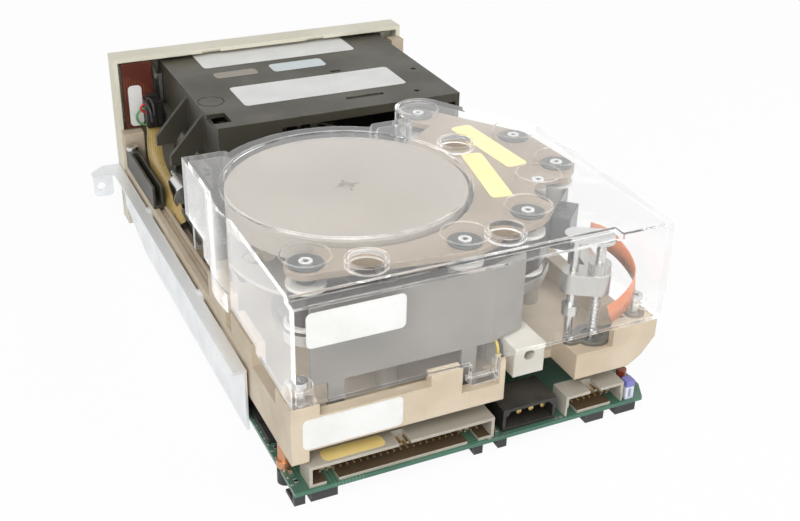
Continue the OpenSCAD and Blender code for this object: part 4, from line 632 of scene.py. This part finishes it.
# %% Take-up reel
reel_skin = finish("reel pale plastic", (149, 141, 130), (139, 131, 119), (0.3, 0.42),
                   grain_size=0.35, depth=0.004, worn=(214, 208, 200), wear=0.3, corner=0.3,
                   drift=18)
tree = reel_skin.node_tree
shader = tree.nodes["Principled BSDF"]
ring_rate, reel_radius, rim_share, rim_tone = 9000.0, 0.046, 0.25, (156, 149, 139)
place = add(tree, "TexCoord")
centred = add(tree, "Mapping")
reel_centre = spot(reel[0], reel[1], 0)
centred.inputs["Location"].default_value = -reel_centre
centred.inputs["Scale"].default_value = (1.0, 1.0, 0.0)
join(tree, place.outputs["Object"], centred.inputs["Vector"])
distance = add(tree, "VectorMath", {"operation": "LENGTH"})
join(tree, centred.outputs[0], distance.inputs[0])
rings = calculate(tree, "SINE", calculate(tree, "MULTIPLY", distance.outputs["Value"],
                                          ring_rate))
outwards = span(tree, distance.outputs["Value"], 0.0, reel_radius)
old = shader.inputs["Base Color"].links[0].from_socket
join(tree, mix_colours(tree, calculate(tree, "MULTIPLY", outwards, rim_share), old,
                       tint(*rim_tone)), shader.inputs["Base Color"])
turned = use(tree, relief, Corner=0.0003, Height=rings, Depth=0.0000008)
join(tree, turned.outputs["Normal"], shader.inputs["Normal"])
dress(reel_skin, "take_up_reel")
tape_skin = finish("leader dark film", (58, 50, 44), (44, 38, 33), (0.2, 0.32), grain_size=0.4,
                   depth=0.002, stretch=(1.0, 1.0, 40.0), corner=0.05, shine=0.6)
dress(tape_skin, "leader_tape")
print("reel done")

# %% [markdown]
# ## Boards
# The main board is green solder mask over copper. Copper tracks show through the mask as
# slightly lighter lines, so the tone comes from two grids of lines that are cut up by a
# Voronoi pattern into runs and gaps. The small panel board is red-brown.


# %% Boards
def board(name, mask_light, mask_dark, track_tone, pitch):
    """Solder mask with tracks under it, pitch in millimetres."""
    run_length, bare_share, track_share = 9, 0.35, 0.55
    made = finish(name, mask_light, mask_dark, (0.26, 0.38), grain_size=0.3, depth=0.004,
                  worn=track_tone, wear=0.3, dirt=0.15, corner=0.1, shine=0.6)
    tree = made.node_tree
    shader = tree.nodes["Principled BSDF"]
    place_at = add(tree, "TexCoord")
    cells = add(tree, "TexVoronoi", {"feature": "F1", "distance": "CHEBYCHEV"},
                Scale=1000.0 / (pitch * run_length), Randomness=0.8)
    join(tree, place_at.outputs["Object"], cells.inputs["Vector"])
    parts_of = add(tree, "SeparateXYZ")
    join(tree, place_at.outputs["Object"], parts_of.inputs[0])
    pick = add(tree, "SeparateColor")
    join(tree, cells.outputs["Color"], pick.inputs[0])
    run = []
    for axis in (0, 1):
        wave = calculate(tree, "SINE", calculate(tree, "MULTIPLY", parts_of.outputs[axis],
                                                 2 * math.pi * 1000.0 / pitch))
        run.append(span(tree, wave, 0.35, 0.6))
    way = calculate(tree, "GREATER_THAN", pick.outputs[0], 0.5)
    chosen = add(tree, "Mix", {"data_type": "FLOAT"})
    join(tree, way, chosen.inputs[0])
    join(tree, run[0], chosen.inputs[2])
    join(tree, run[1], chosen.inputs[3])
    shown = calculate(tree, "MULTIPLY", chosen.outputs[0],
                      calculate(tree, "GREATER_THAN", pick.outputs[1], bare_share))
    old = shader.inputs["Base Color"].links[0].from_socket
    join(tree, mix_colours(tree, calculate(tree, "MULTIPLY", shown, track_share), old,
                           tint(*track_tone)), shader.inputs["Base Color"])
    shape = use(tree, relief, Corner=0.0001, Height=shown, Depth=0.00003)
    join(tree, shape.outputs["Normal"], shader.inputs["Normal"])
    return made


green_board = board("green board", (62, 108, 88), (50, 92, 75), (104, 144, 120), 1.27)
brown_board = board("panel board", (96, 44, 29), (78, 34, 22), (132, 76, 50), 1.27)
dress(green_board, "main_board")
dress(brown_board, "panel_board")
print("boards done")

# %% [markdown]
# ## Helpers for new pieces
# A new piece starts from a bmesh primitive or one edge, gets its shape from operators, and
# is then made an object that rides on a body of the model. Faces are smoothed only where
# they meet at a small angle.

# %% Piece helpers
sharp_angle = math.radians(35.0)


def piece(name, mesh_maker, body, material):
    """A mesh piece from a bmesh, riding on a body if one is given."""
    mesh = bpy.data.meshes.new(name)
    bmesh.ops.remove_doubles(mesh_maker, verts=mesh_maker.verts, dist=1e-7)
    bmesh.ops.recalc_face_normals(mesh_maker, faces=mesh_maker.faces)
    mesh_maker.to_mesh(mesh)
    mesh_maker.free()
    mesh.polygons.foreach_set("use_smooth", [True] * len(mesh.polygons))
    mesh.set_sharp_from_angle(angle=sharp_angle)
    made = bpy.data.objects.new(name, mesh)
    bpy.context.scene.collection.objects.link(made)
    made.data.materials.append(material)
    if body:
        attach(made, body)
    print(name, len(mesh.polygons), "faces")
    return made


def add_box(into, low, high, round_off):
    """A box between two corners of the drive, in millimetres, with its edges taken off."""
    low, high = spot(*low), spot(*high)
    made = bmesh.ops.create_cube(into, size=1.0)["verts"]
    size = high - low
    bmesh.ops.scale(into, vec=size, verts=made)
    bmesh.ops.translate(into, vec=(low + high) / 2, verts=made)
    rims = list({e for v in made for e in v.link_edges})
    bmesh.ops.bevel(into, geom=rims, offset=round_off * MM, offset_type="OFFSET",
                    segments=1, profile=0.5, affect="EDGES", material=-1)


def add_lathe(into, profile, x, y, steps):
    """A profile of (radius, height) in millimetres spun about an upright axis at a place."""
    made = [into.verts.new((r * MM, 0.0, z * MM)) for r, z in profile]
    rims = [into.edges.new(pair) for pair in zip(made, made[1:])]
    out = bmesh.ops.spin(into, geom=made + rims, cent=(0, 0, 0), axis=(0, 0, 1),
                         angle=2 * math.pi, steps=steps, use_merge=True)
    spun = {v for g in out["geom_last"] for v in (g.verts if hasattr(g, "verts") else [g])}
    stack, seen = list(made) + list(spun), set(made) | spun
    while stack:
        for rim in stack.pop().link_edges:
            for end in rim.verts:
                if end not in seen:
                    seen.add(end)
                    stack.append(end)
    bmesh.ops.translate(into, vec=spot(x, y, 0), verts=list(seen))


def smooth_route(points, steps=6):
    """A smooth run of places through the given ones, all in millimetres."""
    out = []
    ends = [points[0]] + list(points) + [points[-1]]
    for a, b, c, d in zip(ends, ends[1:], ends[2:], ends[3:]):
        a, b, c, d = Vector(a), Vector(b), Vector(c), Vector(d)
        for k in range(steps):
            t = k / steps
            out.append(0.5 * ((2 * b) + (c - a) * t + (2 * a - 5 * b + 4 * c - d) * t * t
                              + (3 * b - a - 3 * c + d) * t ** 3))
    out.append(Vector(points[-1]))
    return out


print("piece helpers ready")

# %% [markdown]
# ## Printed films
# Two flat films carry signals: a tan one from the panel back along the side, and an orange
# one from the head. A film is a strip with a smooth path and a slow twist. One edge is
# extruded from point to point, and its length and width go into a UV map, so that the
# printed tracks run along the film wherever it bends. The strip gets its thickness from a
# Solidify modifier.

# %% Film maker
film_thickness = 0.2
map_unit = 10.0


def film(name, route, turns, width, body, material, node):
    """A strip along a route; turns give the angle of its width at each point in degrees."""
    made = bmesh.new()
    uv = made.loops.layers.uv.new("film")
    places = smooth_route(route)
    angles = [a[0] for a in smooth_route([(t, 0, 0) for t in turns])]
    run, past = 0.0, None
    last_edge, rows = None, {}
    for index, (at, angle) in enumerate(zip(places, angles)):
        ahead = places[min(index + 1, len(places) - 1)] - places[max(index - 1, 0)]
        ahead.normalize()
        across = Vector((math.cos(math.radians(angle)), 0, math.sin(math.radians(angle))))
        across = (across - ahead * across.dot(ahead)).normalized() * (width / 2)
        ends = [spot(*(at - across)), spot(*(at + across))]
        run += (at - past).length if past else 0.0
        past = at
        if last_edge is None:
            corners = [made.verts.new(p) for p in ends]
            last_edge = made.edges.new(corners)
        else:
            grown = bmesh.ops.extrude_edge_only(made, edges=[last_edge])["geom"]
            last_edge = next(g for g in grown if isinstance(g, bmesh.types.BMEdge))
            fresh = [g for g in grown if isinstance(g, bmesh.types.BMVert)]
            fresh.sort(key=lambda v: (v.co - corners[0].co).length
                       - (v.co - corners[1].co).length)
            for corner_vert, p in zip(fresh, ends):
                corner_vert.co = p
            corners = fresh
        for side, vert in enumerate(corners):
            rows[vert] = (side * width / map_unit, run / map_unit)
    for face in made.faces:
        for loop in face.loops:
            loop[uv].uv = rows[loop.vert]
    strip = piece(name, made, body, material)
    thick = strip.modifiers.new("thickness", "SOLIDIFY")
    thick.thickness = film_thickness * MM
    thick.offset = 0.0
    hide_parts(node)
    return strip


print("film maker ready")

# %% [markdown]
# ## Film finishes
# The films are polyimide, glossy and amber or orange, with copper tracks that show through
# as darker lines. A sine across the width makes the tracks, from the film's own UV map, in
# which one unit is a centimetre. The orange film rides on no body and keeps the shape it is
# made in.


# %% Film finishes
def film_finish(name, base, track, pitch):
    """Polyimide film with copper tracks along its length, pitch in millimetres."""
    dark_share, track_share = 0.92, 0.6
    made = bpy.data.materials.new(name)
    made.use_nodes = True
    tree = made.node_tree
    shader = tree.nodes["Principled BSDF"]
    map_of = add(tree, "UVMap", {"uv_map": "film"})
    parts_of = add(tree, "SeparateXYZ")
    join(tree, map_of.outputs[0], parts_of.inputs[0])
    wave = calculate(tree, "SINE", calculate(tree, "MULTIPLY", parts_of.outputs[0],
                                             2 * math.pi * map_unit / pitch))
    track_mask = span(tree, wave, 0.0, 0.35)
    skin = use(tree, grain, Fineness=1800.0, Drift=90.0)
    plain = mix_colours(tree, skin.outputs["Tone"], tint(*[v * dark_share for v in base]),
                        tint(*base))
    tracks = calculate(tree, "MULTIPLY", track_mask, track_share)
    colour = mix_colours(tree, tracks, plain, tint(*track))
    join(tree, colour, shader.inputs["Base Color"])
    join(tree, span(tree, skin.outputs["Tone"], 0.0, 1.0, 0.3, 0.2), shader.inputs["Roughness"])
    shader.inputs["Coat Weight"].default_value = 0.4
    shape = use(tree, relief, Corner=0.00005, Height=track_mask, Depth=0.00004)
    join(tree, shape.outputs["Normal"], shader.inputs["Normal"])
    return made


tan_film = film_finish("tan printed film", (198, 172, 108), (162, 132, 74), 1.0)
orange_film = film_finish("orange printed film", (202, 122, 80), (158, 88, 54), 0.8)
panel_route = [(57.6, 4, 51.2), (58.4, 8, 49.8), (60.2, 14, 47.4), (62, 22, 44.6),
               (63, 30, 42.6), (63.4, 38, 41.2), (63.6, 46, 40), (63.8, 54, 37.5),
               (64, 61, 33.5), (64.2, 68, 29.5)]
panel_turns = [0, -5, -14, -22, -30, -36, -40, -44, -46, -48]
film("panel_film", panel_route, panel_turns, 7, "chassis", tan_film, "film_flex")
head_route = [(-61.5, 196, 62), (-64, 202, 62), (-66, 209, 60), (-66.5, 216, 57),
              (-65, 221.5, 54), (-61, 225, 51), (-56, 226.5, 48), (-51, 227, 46)]
head_turns = [90, 90, 88, 85, 82, 80, 80, 80]
head_film = film("head_film", head_route, head_turns, 8, None, orange_film,
                 "head_flex")
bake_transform(head_film)

# %% [markdown]
# ## Wires
# A red and a green lead leave the panel's plug in short bows, two black loops stand behind
# them, and a yellow and a black lead rise beside the pale block. A curve with a round bevel
# is the plainest way to a lead of even thickness, and a satin skin suits its plastic.


# %% Wires
def wire(name, colour, thick, route):
    """A round lead along a route in millimetres, thick in millimetres."""
    data = bpy.data.curves.new(name, "CURVE")
    data.dimensions = "3D"
    data.bevel_depth = thick / 2 * MM
    data.bevel_resolution = 3
    data.use_fill_caps = True
    line = data.splines.new("POLY")
    places = smooth_route(route, 8)
    line.points.add(len(places) - 1)
    for point, at in zip(line.points, places):
        point.co = (*spot(*at), 1.0)
    line.use_smooth = True
    made = bpy.data.objects.new(name, data)
    bpy.context.scene.collection.objects.link(made)
    data.materials.append(lead_skins[colour])
    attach(made, "chassis")
    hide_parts("lead_wires")


lead_tones = {"red": ((206, 62, 60), (178, 44, 44)),
              "green": ((110, 168, 112), (88, 146, 92)),
              "yellow": ((226, 198, 62), (204, 174, 44)),
              "black": ((48, 47, 46), (36, 35, 34))}
lead_skins = {colour: finish(colour + " lead skin", light, dark, (0.3, 0.42),
                             grain_size=0.3, depth=0.004, corner=0.05)
              for colour, (light, dark) in lead_tones.items()}
wire("red_lead", "red", 1.1,
     [(60.6, 6.4, 63.4), (62.4, 6.6, 63.2), (63.5, 6.4, 61.6), (62.6, 6.2, 59.8),
      (60.6, 6.2, 59.2)])
wire("green_lead", "green", 1.1,
     [(60.6, 3.8, 60.0), (63.2, 3.9, 59.6), (65.2, 4.0, 57.2), (64.6, 4.0, 54.0),
      (62.2, 3.9, 52.4), (60.6, 3.8, 52.2)])
wire("yellow_lead", "yellow", 1.1,
     [(-9.6, 219.5, 16.2), (-9.6, 219.6, 24), (-9.7, 219.9, 32), (-9.5, 219.6, 38),
      (-9.2, 217.5, 40.6)])
wire("black_lead", "black", 1.1,
     [(-11.0, 219.5, 16.2), (-11.0, 219.7, 24), (-11.0, 220.1, 32), (-10.8, 219.6, 38),
      (-10.8, 217.2, 40.4)])
wire("black_loop_front", "black", 1.2,
     [(60.2, 7.6, 65.2), (60.4, 9.5, 67.2), (60.0, 12.5, 67.6), (59.6, 15.5, 65.4),
      (59.8, 17, 61.5)])
wire("black_loop_rear", "black", 1.2,
     [(61.8, 7.2, 64.8), (62.2, 9.8, 66.2), (61.8, 13.6, 65.6), (61.2, 16.6, 62.6),
      (61.0, 17.6, 58.5)])
print("wires done")

# %% [markdown]
# ## Cover rings
# The clear cover has a raised ring moulded over each guide roller and over the screwed
# boss. A ring is a low profile spun round, open below where it meets the cover's top.

# %% Cover rings
cover_top, ring_radius, ring_high = 81.2, 8.2, 0.35
crest_from, crest_to, ring_wide = 0.1, 0.7, 0.8
ring_profile = [(ring_radius, cover_top), (ring_radius + crest_from, cover_top + ring_high),
                (ring_radius + crest_to, cover_top + ring_high),
                (ring_radius + ring_wide, cover_top)]
ring_maker = bmesh.new()
for x, y in rollers + [boss]:
    add_lathe(ring_maker, ring_profile, x, y, 48)
piece("cover_rings", ring_maker, "chassis", clear)

# %% [markdown]
# ## Small board parts
# Tiny resistors and capacitors stand on the board's bare strips. Each is a glazed body
# between two plated ends that are a little thicker. Which of the two kinds stands where is
# drawn at random from a fixed seed, so that every run gives the same board.

# %% Small board parts
board_top = 7.0
ceramic = finish("chip capacitor ceramic", (176, 142, 104), (156, 122, 86), (0.35, 0.5),
                 grain_size=0.2, depth=0.004, worn=(196, 168, 134), wear=0.4, corner=0.1)
resistor_skin = finish("chip resistor glaze", (38, 38, 40), (28, 28, 30), (0.16, 0.26),
                       grain_size=0.2, depth=0.003, worn=(80, 80, 82), wear=0.3, corner=0.1,
                       shine=0.6)
solder = finish("solder", (206, 206, 208), (182, 182, 186), (0.2, 0.34), grain_size=0.2,
                depth=0.004, metal=0.9, worn=(226, 226, 228), wear=0.3, corner=0.1)
chip_long, chip_wide, chip_high, chip_end = 2.0, 1.25, 0.7, 0.4
chip_round, plating = 0.06, 0.04


def chip_part(body_maker, end_maker, x, y, turned):
    """A leadless part: a body between two plated ends, along x or turned along y."""
    half_long, half_wide = chip_long / 2, chip_wide / 2
    for into, low, high, grow in (
            (body_maker, -half_long + chip_end, half_long - chip_end, 0.0),
            (end_maker, -half_long, -half_long + chip_end, plating),
            (end_maker, half_long - chip_end, half_long, plating)):
        along, across = (low, high), (-half_wide - grow, half_wide + grow)
        if turned:
            along, across = across, along
        add_box(into, (x + along[0], y + across[0], board_top),
                (x + along[1], y + across[1], board_top + chip_high + grow), chip_round)


random.seed(7)
dark_maker, pale_maker, end_maker = bmesh.new(), bmesh.new(), bmesh.new()
left_strip = [(69.8, y, True) for y in range(190, 228, 5)]
gap_strip = [(-6.4, y, True) for y in (214, 218.5, 223, 227.5)]
right_strip = [(x, y, False) for x in (-62.5, -66.5) for y in (203, 207, 211, 215)]
for x, y, turned in left_strip + gap_strip + right_strip:
    chip_part(random.choice((dark_maker, pale_maker)), end_maker, x, y, turned)
piece("chip_resistors", dark_maker, "chassis", resistor_skin)
piece("chip_capacitors", pale_maker, "chassis", ceramic)
piece("plated_ends", end_maker, "chassis", solder)

# %% [markdown]
# ## Round pads
# Round tinned pads line the board's edges. Solder stands on a pad as a very low dome, so
# each is a short profile spun round, larger at the rear edge than along the side.

# %% Round pads
dome_high, shoulder_high = 0.12, 0.1
rear_pads = [(x, 230.3) for x in (-8.0, -5.2, -2.4)] + [(-31, 229.6), (-33, 229.6)]
side_pads = [(71.4, y) for y in range(186, 230, 4)]
pad_maker = bmesh.new()
for places, shoulder, foot in ((rear_pads, 0.45, 0.8), (side_pads, 0.4, 0.6)):
    for x, y in places:
        dome = [(0.0, board_top + dome_high), (shoulder, board_top + shoulder_high),
                (foot, board_top)]
        add_lathe(pad_maker, dome, x, y, 12)
piece("board_pads", pad_maker, "chassis", solder)

# %% [markdown]
# ## Floor
# The photograph has a pure white ground, so the floor is pale and shows white to the
# camera, with only a faint contact shadow left in it. Metal and clear plastic mirror or
# let through the same white, so their rays see it as well.

# %% Floor
floor_half, floor_drop, glow_share = 3.0, 0.0002, 0.94


def seen_rays(tree):
    """One for rays from the camera and for those that metal or clear plastic sends on."""
    kinds = add(tree, "LightPath").outputs
    return calculate(tree, "MAXIMUM", kinds["Is Camera Ray"],
                     calculate(tree, "MAXIMUM", kinds["Is Glossy Ray"],
                               kinds["Is Transmission Ray"]))


mesh = bpy.data.meshes.new("floor")
plane = bmesh.new()
bmesh.ops.create_grid(plane, x_segments=1, y_segments=1, size=floor_half)
bmesh.ops.translate(plane, vec=(0, 0, -floor_drop), verts=plane.verts)
plane.to_mesh(mesh)
plane.free()
floor = bpy.data.objects.new("floor", mesh)
bpy.context.scene.collection.objects.link(floor)
ground = bpy.data.materials.new("pale floor")
ground.use_nodes = True
tree = ground.node_tree
base = tree.nodes["Principled BSDF"]
base.inputs["Base Color"].default_value = (0.9, 0.9, 0.9, 1.0)
base.inputs["Roughness"].default_value = 0.9
base.inputs["Specular IOR Level"].default_value = 0.0
glow = add(tree, "Emission", Color=(1.0, 1.0, 1.0, 1.0), Strength=1.0)
glowing = calculate(tree, "MULTIPLY", seen_rays(tree), glow_share)
mix_shaders(tree, glowing, base, glow, "Material Output")
mesh.materials.append(ground)
print("floor half width:", floor_half, "m")

# %% [markdown]
# ## Sky and lamps
# An even sky and three large soft lamps light the drive. The third lamp stands low behind
# the camera, because the photograph's rear faces are nearly as bright as its tops, and it
# isn't mirrored, so that it leaves no square in the clear cover.

# %% Sky and lamps
sky = bpy.data.worlds.new("sky")
bpy.context.scene.world = sky
sky.use_nodes = True
tree = sky.node_tree
even = tree.nodes["Background"]
even.inputs["Color"].default_value = (1.0, 1.0, 1.0, 1.0)
even.inputs["Strength"].default_value = 0.45
white = add(tree, "Background", Color=(1.0, 1.0, 1.0, 1.0), Strength=1.0)
mix_shaders(tree, seen_rays(tree), even, white, "World Output")


def lamp(name, at, aim, size, power):
    """A square soft lamp in metres and watts."""
    data = bpy.data.lights.new(name, "AREA")
    data.shape = "SQUARE"
    data.size = size
    data.energy = power
    made = bpy.data.objects.new(name, data)
    made.location = at
    made.rotation_euler = (Vector(aim) - Vector(at)).to_track_quat("-Z", "Y").to_euler()
    bpy.context.scene.collection.objects.link(made)
    return made


lamp("key", (0.75, 0.75, 1.05), aim=(0, 0, 0.04), size=0.7, power=9.0)
lamp("fill", (-0.95, 0.55, 0.75), aim=(0, 0, 0.04), size=0.9, power=5.0)
low_lamp = lamp("low", (0.35, 1.25, 0.3), aim=(0, 0.05, 0.04), size=0.9, power=6.0)
low_lamp.visible_glossy = False
